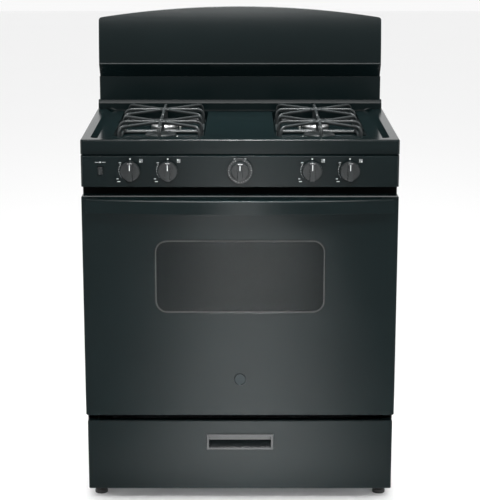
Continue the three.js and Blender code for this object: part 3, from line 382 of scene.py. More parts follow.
def window_glass():
    """Dark tinted pane: glossy, and thin enough in tone for the racks to be made out."""
    f = Finish("window_glass")
    smear = f.noise(26.0, 4.0, 0.6, (1, 1, 3))
    tone = f.mix(smear, (0.003, 0.0048, 0.005), (0.006, 0.0085, 0.009))
    return f.surface(
        Base_Color=tone, Roughness=smear * 0.06 + 0.10, Alpha=colours().glass_tint, Specular_IOR_Level=0.09,
        Normal=f.bump(f.noise(5.0, 0.0), 0.02, 1 * MM),
    )


def lamp_glass():
    f = Finish("lamp_glass")
    ripple = f.noise(160.0, 1.0)
    return f.surface(
        Base_Color=f.mix(ripple, (0.75, 0.77, 0.76), (0.88, 0.89, 0.87)), Roughness=ripple * 0.1 + 0.08,
        Alpha=0.55, Normal=f.bump(ripple, 0.3, 1 * MM),
    )


def woven_seal():
    """Braided glass-fibre seal round the oven mouth."""
    f = Finish("woven_seal")
    weave = f.node(
        "ShaderNodeTexWave", {"wave_type": "BANDS", "bands_direction": "DIAGONAL"},
        {"Vector": f.place, "Scale": 190.0, "Distortion": 1.5, "Detail": 2.0, "Detail Scale": 3.0},
    )[1]
    return f.surface(
        Base_Color=f.mix(weave, (0.02, 0.021, 0.022), (0.075, 0.077, 0.078)), Roughness=0.9,
        Normal=f.bump(weave, 0.7, 0.8 * MM),
    )


def ceramic():
    """Glazed white insulator, browned a little by heat."""
    f = Finish("white_ceramic")
    heat = f.noise(240.0, 3.0)
    return f.surface(
        Base_Color=f.mix(heat, (0.72, 0.69, 0.62), (0.86, 0.85, 0.82)), Roughness=heat * 0.1 + 0.16,
        Normal=f.bump(heat, 0.1, 0.1 * MM),
    )


def rubber():
    f = Finish("foot_rubber")
    grain = f.noise(350.0, 4.0)
    return f.surface(
        Base_Color=f.mix(grain, (0.012, 0.012, 0.012), (0.03, 0.03, 0.03)), Roughness=grain * 0.2 + 0.65,
        Normal=f.bump(grain, 0.3, 0.3 * MM),
    )


def shadow_black():
    """Painted shade: near-black matt, almost without reflection, worn by the front frame behind the door.
    """
    f = Finish("painted_frame_shade")
    # The tone below is painted shade, not the frame's paint colour; the noise only mottles it.
    shade_mottle = f.noise(90.0, 3.0)
    tone = f.mix(shade_mottle, (0.0006, 0.0007, 0.0008), (0.002, 0.002, 0.0022))
    return f.surface(Base_Color=tone, Roughness=0.85, Specular_IOR_Level=0.05)


def studio_floor():
    f = Finish("studio_floor")
    cloud = f.noise(1.2, 2.0)
    pale = stage_settings().floor
    return f.surface(
        Base_Color=f.mix(cloud, scaled(pale, 0.995), scaled(pale, 1.005)),
        Roughness=0.9, Specular_IOR_Level=0.1,
    )


MAKERS = {
    "enamel": enamel,
    "paint": satin_paint,
    "cast": lambda: cast_enamel("cast_enamel", colours().cast, 0.34),
    "cap": lambda: cast_enamel("cap_enamel", scaled(colours().cast, 0.9), 0.26),
    "plastic": plastic,
    "mark": printed_mark,
    "aluminium": lambda: metal("cast_aluminium", colours().aluminium, 0.26, scale=900.0),
    "steel": lambda: metal("plated_steel", (0.42, 0.43, 0.44), 0.26, (1, 1, 6)),
    "chrome": lambda: metal("chromed_wire", (0.62, 0.63, 0.64), 0.10, scale=300.0),
    "brass": lambda: metal("brass", (0.62, 0.44, 0.17), 0.24, (6, 1, 1)),
    "badge": lambda: metal("badge_metal", (0.016, 0.019, 0.020), 0.30, (1, 1, 8)),
    "galvanised": galvanised,
    "oven": speckled_enamel,
    "glass": window_glass,
    "lamp": lamp_glass,
    "seal": woven_seal,
    "ceramic": ceramic,
    "rubber": rubber,
    "shadow": shadow_black,
    "floor": studio_floor,
}
_made = {}


def finish_of(name):
    """The material of that finish, made the first time that it is asked for."""
    if name not in _made:
        _made[name] = MAKERS[name]()
    return _made[name]


# ---------------------------------------------------------------- mesh helpers


def block(low, high):
    """A box between two corners."""
    bm = bmesh.new()
    low, high = Vector(low), Vector(high)
    place = Matrix.Translation((low + high) / 2) @ Matrix.Diagonal((*(high - low), 1.0))
    bmesh.ops.create_cube(bm, size=1.0, matrix=place)
    return bm


def prism(points, along):
    """An outline of a few points, pushed along a vector."""
    bm = bmesh.new()
    face = bm.faces.new([bm.verts.new(point) for point in points])
    made = bmesh.ops.extrude_face_region(bm, geom=[face])
    moved = [item for item in made["geom"] if isinstance(item, bmesh.types.BMVert)]
    bmesh.ops.translate(bm, verts=moved, vec=along)
    bmesh.ops.recalc_face_normals(bm, faces=bm.faces)
    return bm


def turned(outline, centre, axis, steps=48):
    """A piece turned about an axis through centre, from its (radius, distance along the axis) outline."""
    bm = bmesh.new()
    axis = Vector(axis)
    out = axis.orthogonal().normalized()
    line = [bm.verts.new(Vector(centre) + out * radius + axis * along) for radius, along in outline]
    edges = [bm.edges.new(pair) for pair in zip(line, line[1:])]
    bmesh.ops.spin(
        bm, geom=line + edges, cent=centre, axis=axis, angle=math.tau, steps=steps, use_merge=True
    )
    bmesh.ops.remove_doubles(bm, verts=bm.verts, dist=0.01 * MM)
    bmesh.ops.recalc_face_normals(bm, faces=bm.faces)
    return bm


def merged(*parts):
    """Several bmeshes as one."""
    whole = bmesh.new()
    for part in parts:
        mesh = bpy.data.meshes.new("part")
        part.to_mesh(mesh)
        whole.from_mesh(mesh)
        part.free()
        bpy.data.meshes.remove(mesh)
    return whole


def rounded(bm, width, segments=3, pick=None, angle=25.0):
    """Bevels the edges that turn by more than an angle, or those of them that pick chooses."""
    bm.normal_update()
    limit = math.radians(angle)
    edges = [edge for edge in bm.edges if edge.is_manifold and edge.calc_face_angle(0.0) > limit]
    if pick is not None:
        edges = [edge for edge in edges if pick(edge)]
    bmesh.ops.bevel(
        bm, geom=edges, offset=width, offset_type="OFFSET", segments=segments, profile=0.5,
        affect="EDGES", clamp_overlap=True, material=-1,
    )
    return bm


def runs_along(axis):
    """Picks the edges that run along an axis."""
    axis = Vector(axis)

    def pick(edge):
        way = edge.verts[1].co - edge.verts[0].co
        return abs(way.normalized().dot(axis)) > 0.99

    return pick


def cut(bm, *tools, operation="DIFFERENCE"):
    """The solid with each tool cut out of it, or joined to it."""
    whole = scratch(bm)
    others = [scratch(tool) for tool in tools]
    for other in others:
        step = whole.modifiers.new("cut", "BOOLEAN")
        step.operation = operation
        step.solver = "EXACT"
        step.object = other
    made = evaluated_bmesh(whole)
    for gone in (whole, *others):
        remove(gone)
    bmesh.ops.remove_doubles(made, verts=made.verts, dist=0.01 * MM)
    bmesh.ops.dissolve_limit(made, angle_limit=math.radians(0.5), verts=made.verts, edges=made.edges)
    return made


def scratch(bm):
    mesh = bpy.data.meshes.new("scratch")
    bm.to_mesh(mesh)
    bm.free()
    made = bpy.data.objects.new("scratch", mesh)
    bpy.context.scene.collection.objects.link(made)
    return made


def evaluated_bmesh(thing):
    made = bmesh.new()
    made.from_mesh(thing.evaluated_get(bpy.context.evaluated_depsgraph_get()).to_mesh())
    return made


def remove(thing):
    mesh = thing.data
    bpy.data.objects.remove(thing)
    bpy.data.meshes.remove(mesh)


def copied(node):
    """A frame node's own mesh, merged and with its flat faces made whole."""
    bm = bmesh.new()
    bm.from_mesh(frame["nodes"][node].data)
    bmesh.ops.remove_doubles(bm, verts=bm.verts, dist=0.02 * MM)
    bmesh.ops.dissolve_limit(bm, angle_limit=math.radians(1.0), verts=bm.verts, edges=bm.edges)
    bmesh.ops.recalc_face_normals(bm, faces=bm.faces)
    return bm


def piece(bm, name, body, finish, replaces=(), crease=38.0):
    """Makes the bmesh a finished piece that rides on a body."""
    limit = math.radians(crease)
    for face in bm.faces:
        face.smooth = True
    for edge in bm.edges:
        edge.smooth = edge.is_manifold and edge.calc_face_angle(0.0) < limit
    mesh = bpy.data.meshes.new(name)
    bm.to_mesh(mesh)
    bm.free()
    made = bpy.data.objects.new(name, mesh)
    bpy.context.scene.collection.objects.link(made)
    mesh.materials.append(finish_of(finish))
    weigh = made.modifiers.new("flat faces first", "WEIGHTED_NORMAL")
    weigh.keep_sharp = True
    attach(made, body)
    if replaces:
        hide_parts(*replaces)
    return made


def body_of(node):
    return frame["nodes"][node]["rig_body"]


def refined(node, name, finish, edge=0.5 * MM, segments=2):
    """A frame node in its own shape, with its sharp edges rounded."""
    bm = copied(node)
    if edge > 0:
        rounded(bm, edge, segments)
    return piece(bm, name, body_of(node), finish, [node])


def shelled(bm, wall, is_open):
    """Takes the faces that is_open chooses off a solid and gives the rest a wall, measured inwards."""
    gone = [face for face in bm.faces if is_open(face)]
    bmesh.ops.delete(bm, geom=gone, context="FACES")
    bmesh.ops.solidify(bm, geom=bm.faces, thickness=wall)
    return bm


def tube(points, radius, closed=False, resolution=3):
    """A round bar along points."""
    curve = bpy.data.curves.new("tube", "CURVE")
    curve.dimensions = "3D"
    curve.bevel_depth = radius
    curve.bevel_resolution = resolution
    curve.use_fill_caps = True
    spline = curve.splines.new("POLY")
    spline.points.add(len(points) - 1)
    for knot, point in zip(spline.points, points):
        knot.co = (*point, 1.0)
    spline.use_cyclic_u = closed
    holder = bpy.data.objects.new("tube", curve)
    bpy.context.scene.collection.objects.link(holder)
    bm = evaluated_bmesh(holder)
    bpy.data.objects.remove(holder)
    bpy.data.curves.remove(curve)
    bmesh.ops.remove_doubles(bm, verts=bm.verts, dist=0.001 * MM)
    bmesh.ops.recalc_face_normals(bm, faces=bm.faces)
    return bm


def bent(points, radius, closed=False, steps=6):
    """The points with each corner turned into a smooth bend."""
    points = [Vector(point) for point in points]
    count = len(points)
    made = []
    for i, corner in enumerate(points):
        if not closed and i in (0, count - 1):
            made.append(corner)
            continue
        before, after = points[i - 1], points[(i + 1) % count]
        start = corner + (before - corner).normalized() * min(radius, (before - corner).length / 2)
        end = corner + (after - corner).normalized() * min(radius, (after - corner).length / 2)
        for step in range(steps + 1):
            t = step / steps
            made.append(start.lerp(corner, t).lerp(corner.lerp(end, t), t))
    return made


def fused(bm, voxel, passes=3):
    """Overlapping bars melted into one skin."""
    whole = scratch(bm)
    melt = whole.modifiers.new("melt", "REMESH")
    melt.mode = "VOXEL"
    melt.voxel_size = voxel
    made = evaluated_bmesh(whole)
    remove(whole)
    for _ in range(passes):
        bmesh.ops.smooth_vert(
            made, verts=made.verts, factor=0.5, use_axis_x=True, use_axis_y=True, use_axis_z=True
        )
    return made


# ---------------------------------------------------------------- cooktop

WALL = 1.6 * MM
RISER_RISE = 22 * MM
RISER_DEPTH = 12 * MM
RISER_BEVEL = 4.5 * MM
RISER_SLOPE = 10 * MM
SIDE_RIM = 22 * MM
FRONT_RIM = 26 * MM
RIM_SLOPE = 13 * MM
FLOOR_DROP = 7 * MM
CORNER_R = 8 * MM
WELL_CORNER = 22 * MM
WELL_FILLET = 9 * MM
GRATE_GAP = 6 * MM
GRATE_LIFT = 0.4 * MM
NECK_R = 24.4 * MM
REAR_FILLET = 5 * MM
RECESS_CORNER = 10 * MM


def well_box(side):
    """The burner well on one side, from its floor to well above the cooktop."""
    front, rear = span(f"grate_front_{side}"), span(f"grate_rear_{side}")
    gap = Vector((GRATE_GAP, GRATE_GAP, GRATE_LIFT))
    low = front[0] - gap
    high = rear[1] + Vector((GRATE_GAP, GRATE_GAP, 0))
    return low, high


def near(value, target, slack=0.3 * MM):
    return abs(value - target) < slack


def lowest(edge):
    return min(vert.co.z for vert in edge.verts)


def at_depth(y):
    """Picks the edges that lie at one depth."""
    return lambda edge: all(near(vert.co.y, y) for vert in edge.verts)


def at_height(height):
    """Picks the edges that lie at a height."""
    return lambda edge: all(near(vert.co.z, height) for vert in edge.verts)


def pressed_top():
    """The cooktop as one pressing: rims, sloped bands, sunk floor, two wells and the riser."""
    low, high, _ = span("cooktop")
    rim = high.z - RISER_RISE
    riser = high.y - RISER_DEPTH
    profile = [(high.y, low.z), (high.y, high.z)]
    profile += [(riser + RISER_BEVEL, high.z), (riser, high.z - RISER_SLOPE)]
    profile += [(riser, rim), (low.y, rim), (low.y, low.z)]
    slab = prism([(low.x, y, z) for y, z in profile], X * (high.x - low.x))
    rounded(slab, CORNER_R, 6, lambda e: runs_along(Z)(e) and all(near(v.co.y, low.y) for v in e.verts))
    rounded(slab, shapes().rim_edge, 4, lambda e: at_height(rim)(e) and not at_depth(riser)(e))
    rounded(slab, 1.2 * MM, 3, lambda e: lowest(e) > rim + MM, angle=20.0)

    floor = rim - FLOOR_DROP
    half = high.x - SIDE_RIM - RIM_SLOPE
    front = low.y + FRONT_RIM + RIM_SLOPE
    over = 2 * MM
    recess = block((-half, front, floor), (half, riser - 0.5 * MM, rim + over))
    spread = RIM_SLOPE * (FLOOR_DROP + over) / FLOOR_DROP
    for vert in recess.verts:
        if vert.co.z > rim:
            vert.co.x += math.copysign(spread, vert.co.x)
            vert.co.y -= spread if vert.co.y < 0 else 0
    rounded(recess, RECESS_CORNER, 5, lambda e: abs(e.verts[0].co.z - e.verts[1].co.z) > MM)
    rounded(recess, REAR_FILLET, 4, at_height(floor))

    wells = []
    for side, _ in SIDES:
        a, b = well_box(side)
        well = block(a, (b.x, b.y, rim + over))
        rounded(well, WELL_CORNER, 8, runs_along(Z))
        rounded(well, WELL_FILLET, 5, at_height(a.z))
        wells.append(well)
    top = cut(slab, recess)
    rounded(top, 2.2 * MM, 3, lambda e: at_height(rim)(e) and abs(e.verts[0].co.x) < high.x - 5 * MM
            and low.y + 5 * MM < e.verts[0].co.y < riser - 6 * MM)
    top = cut(top, *wells)
    rounded(top, shapes().well_edge, 4, at_height(floor))
    shelled(top, WALL, lambda face: face.normal.z < -0.9 and near(face.calc_center_median().z, low.z))
    holes = []
    for place in PLACES:
        _, _, middle = span(f"burner_base_{place}")
        floor_z = well_box(place.split("_")[1])[0].z
        holes.append(turned([(0, -0.02), (NECK_R, -0.02), (NECK_R, 0.02), (0, 0.02)],
                            (middle.x, middle.y, floor_z), Z, 40))
    return cut(top, *holes)


class RANGE_OT_cooktop(bpy.types.Operator):
    """Presses the cooktop: rims, sunk floor, burner wells and rear riser"""

    bl_idname = "range.cooktop"
    bl_label = "Cooktop"

    def execute(self, context):
        piece(pressed_top(), "cooktop_pressing", "body", "enamel", ["cooktop"])
        return {"FINISHED"}


# ---------------------------------------------------------------- burners and grates

PORT_WIDTH = 1.6 * MM
PORT_HEIGHT = 4.2 * MM


def burner_head(place):
    """Cast burner base with its ring of flame ports."""
    low, high, middle = span(f"burner_base_{place}")
    seat = well_box(place.split("_")[1])[0].z + 0.4 * MM
    neck, outer, bore = 24 * MM, (high.x - low.x) / 2, 20 * MM
    top = high.z - seat
    outline = [(bore, low.z - seat), (neck, low.z - seat), (neck, 0)]
    outline += [(outer - 0.6 * MM, 0), (outer, 0.6 * MM)]
    outline += [(outer, 4.0 * MM), (outer - 0.3 * MM, 5.0 * MM), (outer - 2.6 * MM, top - 0.8 * MM)]
    outline += [(outer - 3.4 * MM, top), (bore, top), (bore, low.z - seat)]
    head = turned(outline, (middle.x, middle.y, seat), Z, 72)
    ports = []
    for i in range(shapes().burner_ports):
        port = block((bore + 4 * MM, -PORT_WIDTH / 2, top - 0.8 * MM - PORT_HEIGHT),
                     (outer + MM, PORT_WIDTH / 2, top - 1.6 * MM))
        turn = Matrix.Rotation(math.tau * i / shapes().burner_ports, 4, "Z")
        port.transform(Matrix.Translation((middle.x, middle.y, seat)) @ turn)
        ports.append(port)
    return cut(head, merged(*ports))


def burner_cap(place):
    """Enamelled cap, crowned, with a rolled edge and a locating rim below."""
    low, high, middle = span(f"burner_cap_{place}")
    r = (high.x - low.x) / 2
    under = high.z - 7 * MM
    lip = 19.6 * MM
    outline = [(0, under), (lip - 3 * MM, under), (lip - 3 * MM, low.z), (lip, low.z), (lip, under)]
    outline += [(r - 1.6 * MM, under), (r - 0.4 * MM, under + 0.7 * MM), (r, under + 2 * MM)]
    outline += [(r - 0.6 * MM, under + 3.4 * MM), (r - 2.4 * MM, under + 4.6 * MM)]
    outline += [(r - 8 * MM, under + 5.7 * MM)]
    outline += [(r * 0.5, high.z - 0.35 * MM), (0, high.z)]
    return turned([(radius, z - under) for radius, z in outline], (middle.x, middle.y, under), Z, 72)


def igniter(place):
    """Ceramic spark electrode with its steel tip, standing beside the burner base."""
    low, high, middle = span(f"burner_base_{place}")
    floor = well_box(place.split("_")[1])[0].z
    lean = math.copysign(1, -middle.x)
    at = (middle.x + lean * ((high.x - low.x) / 2 + 5.5 * MM), middle.y + 4 * MM, floor)
    stem = [(0, -6 * MM), (2.6 * MM, -6 * MM), (2.6 * MM, 6 * MM)]
    stem += [(2.0 * MM, 7 * MM), (2.0 * MM, 9 * MM), (0, 9.4 * MM)]
    tip = [(0, 9 * MM), (0.7 * MM, 9 * MM), (0.7 * MM, 11.6 * MM), (0, 12 * MM)]
    return turned(stem, at, Z, 20), turned(tip, at, Z, 10)


class RANGE_OT_burners(bpy.types.Operator):
    """Makes the burner bases with their ports, the caps and the spark electrodes"""

    bl_idname = "range.burners"
    bl_label = "Burners"

    def execute(self, context):
        for place in PLACES:
            piece(burner_head(place), f"burner_head_{place}", "body", "aluminium",
                  [f"burner_base_{place}"])
            piece(burner_cap(place), f"cap_{place}", body_of(f"burner_cap_{place}"), "cap",
                  [f"burner_cap_{place}"], crease=50)
            ceramic, tip = igniter(place)
            piece(ceramic, f"igniter_{place}", "body", "ceramic")
            piece(tip, f"igniter_tip_{place}", "body", "steel")
        return {"FINISHED"}


GRATE_ROD = 8 * MM
GRATE_CORNER = 18 * MM
HUB_R = 13 * MM
FINGER_BEND = 17 * MM


def grate(place):
    """Eight round fingers, bent down on to a base frame, fused where they meet."""
    low, high, middle = span(f"grate_{place}")
    r = GRATE_ROD / 2
    half = (high - low) / 2 - Vector((r, r, 0))
    base = low.z + r
    crest = high.z - r
    corner = GRATE_CORNER - r
    around = ((-1, -1), (1, -1), (1, 1), (-1, 1))
    corners = [(middle.x + sx * half.x, middle.y + sy * half.y, base) for sx, sy in around]
    bars = [tube(bent(corners, corner, closed=True), r, closed=True)]
    for ux in (-1, 0, 1):
        for uy in (-1, 0, 1):
            if ux == 0 and uy == 0:
                continue
            pull = corner * 0.26 if ux and uy else 0
            foot = Vector((ux * (half.x - pull), uy * (half.y - pull), 0))
            inward = foot.normalized() * HUB_R
            centre = Vector((middle.x, middle.y, 0))
            path = [centre + foot + Z * base, centre + foot + Z * crest, centre + inward + Z * crest]
            bars.append(tube(bent(path, FINGER_BEND), r))
    ring = [(middle.x + HUB_R * math.cos(a), middle.y + HUB_R * math.sin(a), crest)
            for a in (math.tau * i / 20 for i in range(20))]
    bars.append(tube(ring, r, closed=True))
    return fused(merged(*bars), shapes().grate_voxel, passes=2)


class RANGE_OT_grates(bpy.types.Operator):
    """Casts the four grates"""

    bl_idname = "range.grates"
    bl_label = "Grates"

    def execute(self, context):
        for place in PLACES:
            piece(grate(place), f"cast_grate_{place}", body_of(f"grate_{place}"), "cast",
                  [f"grate_{place}"], crease=180)
        return {"FINISHED"}


# ---------------------------------------------------------------- backguard

SHROUD_ARCH = 29 * MM
SHROUD_CORNER = 7 * MM
SHROUD_LEAN = 27 * MM
SHROUD_REACH = 32 * MM
SHROUD_STEPS = 14
SHROUD_CURVE = 1.6
SHROUD_FALL = 9 * MM
LIP_FLAT = 1.6 * MM
LIP_RISE = 4.6 * MM
LIP_RUN = 1.4 * MM
VENT_HEIGHT = 36 * MM


def guard_cover():
    """The leaning cover with its arched crown, open below over the vent slot."""
    low, high, _ = span("backguard_shroud")
    slot_top = span("backguard_panel")[1].z + VENT_HEIGHT
    corner_z = high.z - SHROUD_ARCH
    half = high.x
    steps = 18
    crown = []
    for i in range(steps + 1):
        x = half * (1 - 2 * i / steps)
        crown.append((x, high.z - SHROUD_ARCH * (x / half) ** 2))
    outline = [(-half, low.z), (half, low.z)] + crown
    face_y = low.y
    body = prism([(x, face_y, z) for x, z in outline], Y * (high.y - face_y))
    rounded(body, SHROUD_CORNER, 6, lambda e: runs_along(Y)(e) and lowest(e) > corner_z - MM)
    for vert in body.verts:
        if near(vert.co.y, high.y) and vert.co.z > slot_top:
            vert.co.z -= SHROUD_FALL
    rise = high.z + 5 * MM - slot_top
    lean = SHROUD_LEAN * rise / (high.z - slot_top)
    side = [(face_y - 5 * MM, low.z - 5 * MM), (face_y + SHROUD_REACH, low.z - 5 * MM)]
    side += [(face_y + SHROUD_REACH, low.z), (face_y, slot_top), (face_y, slot_top + LIP_FLAT)]
    for i in range(SHROUD_STEPS + 1):
        t = i / SHROUD_STEPS
        back = LIP_RUN + (lean - LIP_RUN) * t ** SHROUD_CURVE
        side.append((face_y + back, slot_top + LIP_RISE + (rise - LIP_RISE) * t))
    side += [(face_y - 5 * MM, slot_top + rise)]
    wedge = prism([(-half - 5 * MM, y, z) for y, z in side], X * (2 * half + 10 * MM))
    body = cut(body, wedge)

    def on_front(edge):
        return max(vert.co.y for vert in edge.verts) < face_y + SHROUD_LEAN + 4 * MM

    rounded(body, shapes().guard_edge, 5, lambda e: on_front(e) and lowest(e) > slot_top - MM
            and not at_height(slot_top)(e))
    rounded(body, 2.0 * MM, 3, lambda e: at_height(slot_top)(e) and on_front(e))
    return shelled(
        body, WALL, lambda face: face.normal.z < -0.95 and face.calc_center_median().z < low.z + MM
    )


def guard_panel():
    """Lower panel under the vent slot, folded back at the sides."""
    low, high, _ = span("backguard_panel")
    bm = block(low, high)
    rounded(bm, 3 * MM, 4, lambda e: runs_along(Z)(e) and near(e.verts[0].co.y, low.y))
    rounded(bm, 1.2 * MM, 3, lambda e: at_height(high.z)(e) and at_depth(low.y)(e))
    return shelled(bm, WALL, lambda face: face.normal.y > 0.9)


class RANGE_OT_backguard(bpy.types.Operator):
    """Makes the backguard: lower panel, leaning cover and the deflector in its slot"""

    bl_idname = "range.backguard"
    bl_label = "Backguard"

    def execute(self, context):
        piece(guard_cover(), "backguard_cover", "body", "enamel", ["backguard_shroud"])
        piece(guard_panel(), "backguard_lower", "body", "enamel", ["backguard_panel"])
        refined("vent_deflector", "slot_deflector", "paint", 0.4 * MM)
        return {"FINISHED"}


# ---------------------------------------------------------------- control panel

PANEL_EDGE = 2.2 * MM
MARK_LIFT = 0.12 * MM
MARK_DEPTH = 0.5 * MM


def panel_face():
    """Depth of the control panel's face."""
    return span("control_panel")[0].y


def control_skin():
    """Control panel pressing with rounded upright corners, knob holes and the switch opening."""
    low, high, _ = span("control_panel")
    bm = block(low, high)
    rounded(bm, CORNER_R, 6, lambda e: runs_along(Z)(e) and near(e.verts[0].co.y, low.y))
    rounded(bm, PANEL_EDGE, 4, lambda e: (at_height(high.z)(e) or at_height(low.z)(e))
            and min(v.co.y for v in e.verts) < low.y + CORNER_R + MM and not runs_along(Y)(e))
    shelled(bm, WALL, lambda face: face.normal.y > 0.9)
    tools = []
    for name in KNOBS:
        middle = span(f"knob_{name}")[2]
        tools.append(turned([(0, -6 * MM), (5 * MM, -6 * MM), (5 * MM, 6 * MM), (0, 6 * MM)],
                            (middle.x, low.y, middle.z), Y, 32))
    s_low, s_high, _ = span("light_switch")
    gap = 0.8 * MM
    corner = (s_high.x + gap, low.y + 5 * MM, s_high.z + gap)
    slot = block((s_low.x - gap, low.y - 5 * MM, s_low.z - gap), corner)
    tools.append(rounded(slot, 1.5 * MM, 4, runs_along(Y)))
    return cut(bm, *tools)


def mark(low, high):
    """One printed bar on the panel, between two (across, height) corners."""
    y = panel_face()
    return block((low[0], y - MARK_LIFT, low[1]), (high[0], y + MARK_DEPTH, high[1]))


def mark_dot(x, z, radius):
    y = panel_face()
    outline = [(0, -MARK_DEPTH), (radius, -MARK_DEPTH), (radius, MARK_LIFT), (0, MARK_LIFT)]
    return turned(outline, (x, y, z), -Y, 16)


def burner_marks(name, lit_column, lit_row):
    """Marks round a burner knob: a dot, three bars, an arc of dots and a plan of the burners."""
    middle = span(f"knob_{name}")[2]
    x, z = middle.x, middle.z
    parts = [mark_dot(x, z + 27.6 * MM, 1.9 * MM)]
    parts += [mark((x - 27 * MM, z + 18 * MM), (x - 21 * MM, z + 19.2 * MM))]
    parts += [mark((x - 33 * MM, z - 21 * MM), (x - 28 * MM, z - 19.6 * MM))]
    parts += [mark((x - 31 * MM, z - 27.5 * MM), (x - 24 * MM, z - 26 * MM))]
    for i in range(9):
        angle = math.radians(150 + i * 8.5)
        reach = 27.0 * MM
        tick = mark_dot(x + reach * math.cos(angle), z + reach * math.sin(angle), (0.9 - 0.06 * i) * MM)
        parts.append(tick)
    pitch, side = 4.4 * MM, 3.2 * MM
    left, top = x + 22 * MM, z + 27 * MM
    for column in (0, 1):
        for row in (0, 1):
            corner = (left + column * pitch, top - row * pitch - side)
            far = (corner[0] + side, corner[1] + side)
            filled = (column, row) == (lit_column, lit_row)
            parts += [mark(corner, far)] if filled else square_ring(corner, far)
    return parts


def square_ring(corner, far, line=0.45 * MM):
    """Four thin bars round a square."""
    (x0, z0), (x1, z1) = corner, far
    return [mark((x0, z0), (x1, z0 + line)), mark((x0, z1 - line), (x1, z1)),
            mark((x0, z0 + line), (x0 + line, z1 - line)), mark((x1 - line, z0 + line), (x1, z1 - line))]


def oven_marks():
    """A dot above the oven dial, with a short bar on each side."""
    middle = span("knob_oven")[2]
    z = middle.z + 28 * MM
    parts = [mark_dot(middle.x, z, 1.7 * MM)]
    for side in (-1, 1):
        x = middle.x + side * 11 * MM
        parts.append(mark((x - 4 * MM, z - 0.7 * MM), (x + 4 * MM, z + 0.7 * MM)))
    return parts


def switch_marks():
    """Plain signs over the rocker: a dot with three short bars on each side."""
    middle = span("light_switch")[2]
    z = middle.z + 20 * MM
    parts = [mark_dot(middle.x, z, 1.8 * MM)]
    for side in (-1, 1):
        for i in range(3):
            x = middle.x + side * (5 + 3.2 * i) * MM
            parts.append(mark((x - 1.1 * MM, z - 0.6 * MM), (x + 1.1 * MM, z + 0.6 * MM)))
    return parts


LIT = {"burner_1": (0, 1), "burner_2": (0, 0), "burner_3": (1, 0), "burner_4": (1, 1)}


class RANGE_OT_control_panel(bpy.types.Operator):
    """Presses the control panel and prints its plain marks"""

    bl_idname = "range.control_panel"
    bl_label = "Control panel"

    def execute(self, context):
        piece(control_skin(), "control_pressing", "body", "enamel", ["control_panel"])
        for name, lit in LIT.items():
            piece(merged(*burner_marks(name, *lit)), f"marks_{name}", "body", "mark")
        piece(merged(*oven_marks()), "marks_oven", "body", "mark")
        piece(merged(*switch_marks()), "marks_switch", "body", "mark")
        refined("gas_manifold", "manifold_casting", "aluminium", 0.8 * MM)
        refined("oven_thermostat", "thermostat_body", "aluminium", 1.0 * MM)
        return {"FINISHED"}


# ---------------------------------------------------------------- knobs and switch

GRIP_WIDTH = 11 * MM
KNOB_BODY = 10 * MM
STEM_BORE = 3.4 * MM
DIAL_THICK = 3 * MM


def knob(name):
    """One control knob."""
    low, high, middle = span(f"knob_{name}")
    oven = name == "oven"
    back = high.y
    radius = 22.5 * MM if oven else 24 * MM
    face = KNOB_BODY
    outline = [(0, 0.2 * MM), (radius - 1.2 * MM, 0), (radius - 0.3 * MM, 0.7 * MM), (radius, 1.8 * MM)]
    outline += [(radius - 0.8 * MM, face - 2.4 * MM), (radius - 1.6 * MM, face - 0.8 * MM)]
    outline += [(radius - 3.2 * MM, face), (0, face)]
    disc = turned(outline, (middle.x, back, middle.z), -Y, 96)
    count = shapes().knob_flutes
    ribs = []
    for i in range(count):
        outer = (radius + 0.15 * MM, 0.45 * MM, face - 2.6 * MM)
        rib = block((radius - 0.9 * MM, -0.45 * MM, 2.2 * MM), outer)
        upright = Matrix.Rotation(math.radians(90), 4, "X")
        turn = Matrix.Rotation(math.tau * i / count, 4, "Z")
        rib.transform(Matrix.Translation((middle.x, back, middle.z)) @ upright @ turn)
        ribs.append(rib)
    reach = radius - 1.5 * MM
    w = GRIP_WIDTH / 2
    front = low.y
    foot = back - face + 2 * MM
    section = ((-w - MM, foot), (w + MM, foot), (w, front), (-w, front))
    grip = prism([(middle.x + x, y, middle.z - reach) for x, y in section], Z * 2 * reach)
    rounded(grip, 4.5 * MM, 6, lambda e: at_depth(front)(e) and runs_along(X)(e))
    rounded(grip, 2.0 * MM, 4, lambda e: near(e.verts[0].co.y, front, 2 * MM) and runs_along(Z)(e))
    hole = [(0, -MM), (STEM_BORE, -MM), (STEM_BORE, 18 * MM), (0, 18 * MM)]
    bore = turned(hole, (middle.x, back, middle.z), -Y, 24)
    solids = [merged(*ribs), grip]
    if oven:
        dial = (high.x - low.x) / 2
        skirt = [(0, 0), (dial - 0.4 * MM, 0), (dial, 0.5 * MM), (dial - 0.2 * MM, 1.6 * MM)]
        skirt += [(dial - 2.2 * MM, DIAL_THICK), (0, DIAL_THICK)]
        solids.append(turned(skirt, (middle.x, back, middle.z), -Y, 96))
    return cut(cut(disc, *solids, operation="UNION"), bore)


def pointer(name, low):
    """Pale line let into the front and top of the grip."""
    _, high, middle = span(f"knob_{name}")
    radius = 22.5 * MM if name == "oven" else 24 * MM
    line = 0.9 * MM
    top = middle.z + radius - 5.6 * MM
    bar_low = (middle.x - line, low.y - 0.15 * MM, middle.z + 4 * MM)
    mark_bar = block(bar_low, (middle.x + line, low.y + MM, top))
    rounded(mark_bar, 0.3 * MM, 2)
    piece(mark_bar, f"pointer_{name}", f"knob_{name}", "mark")


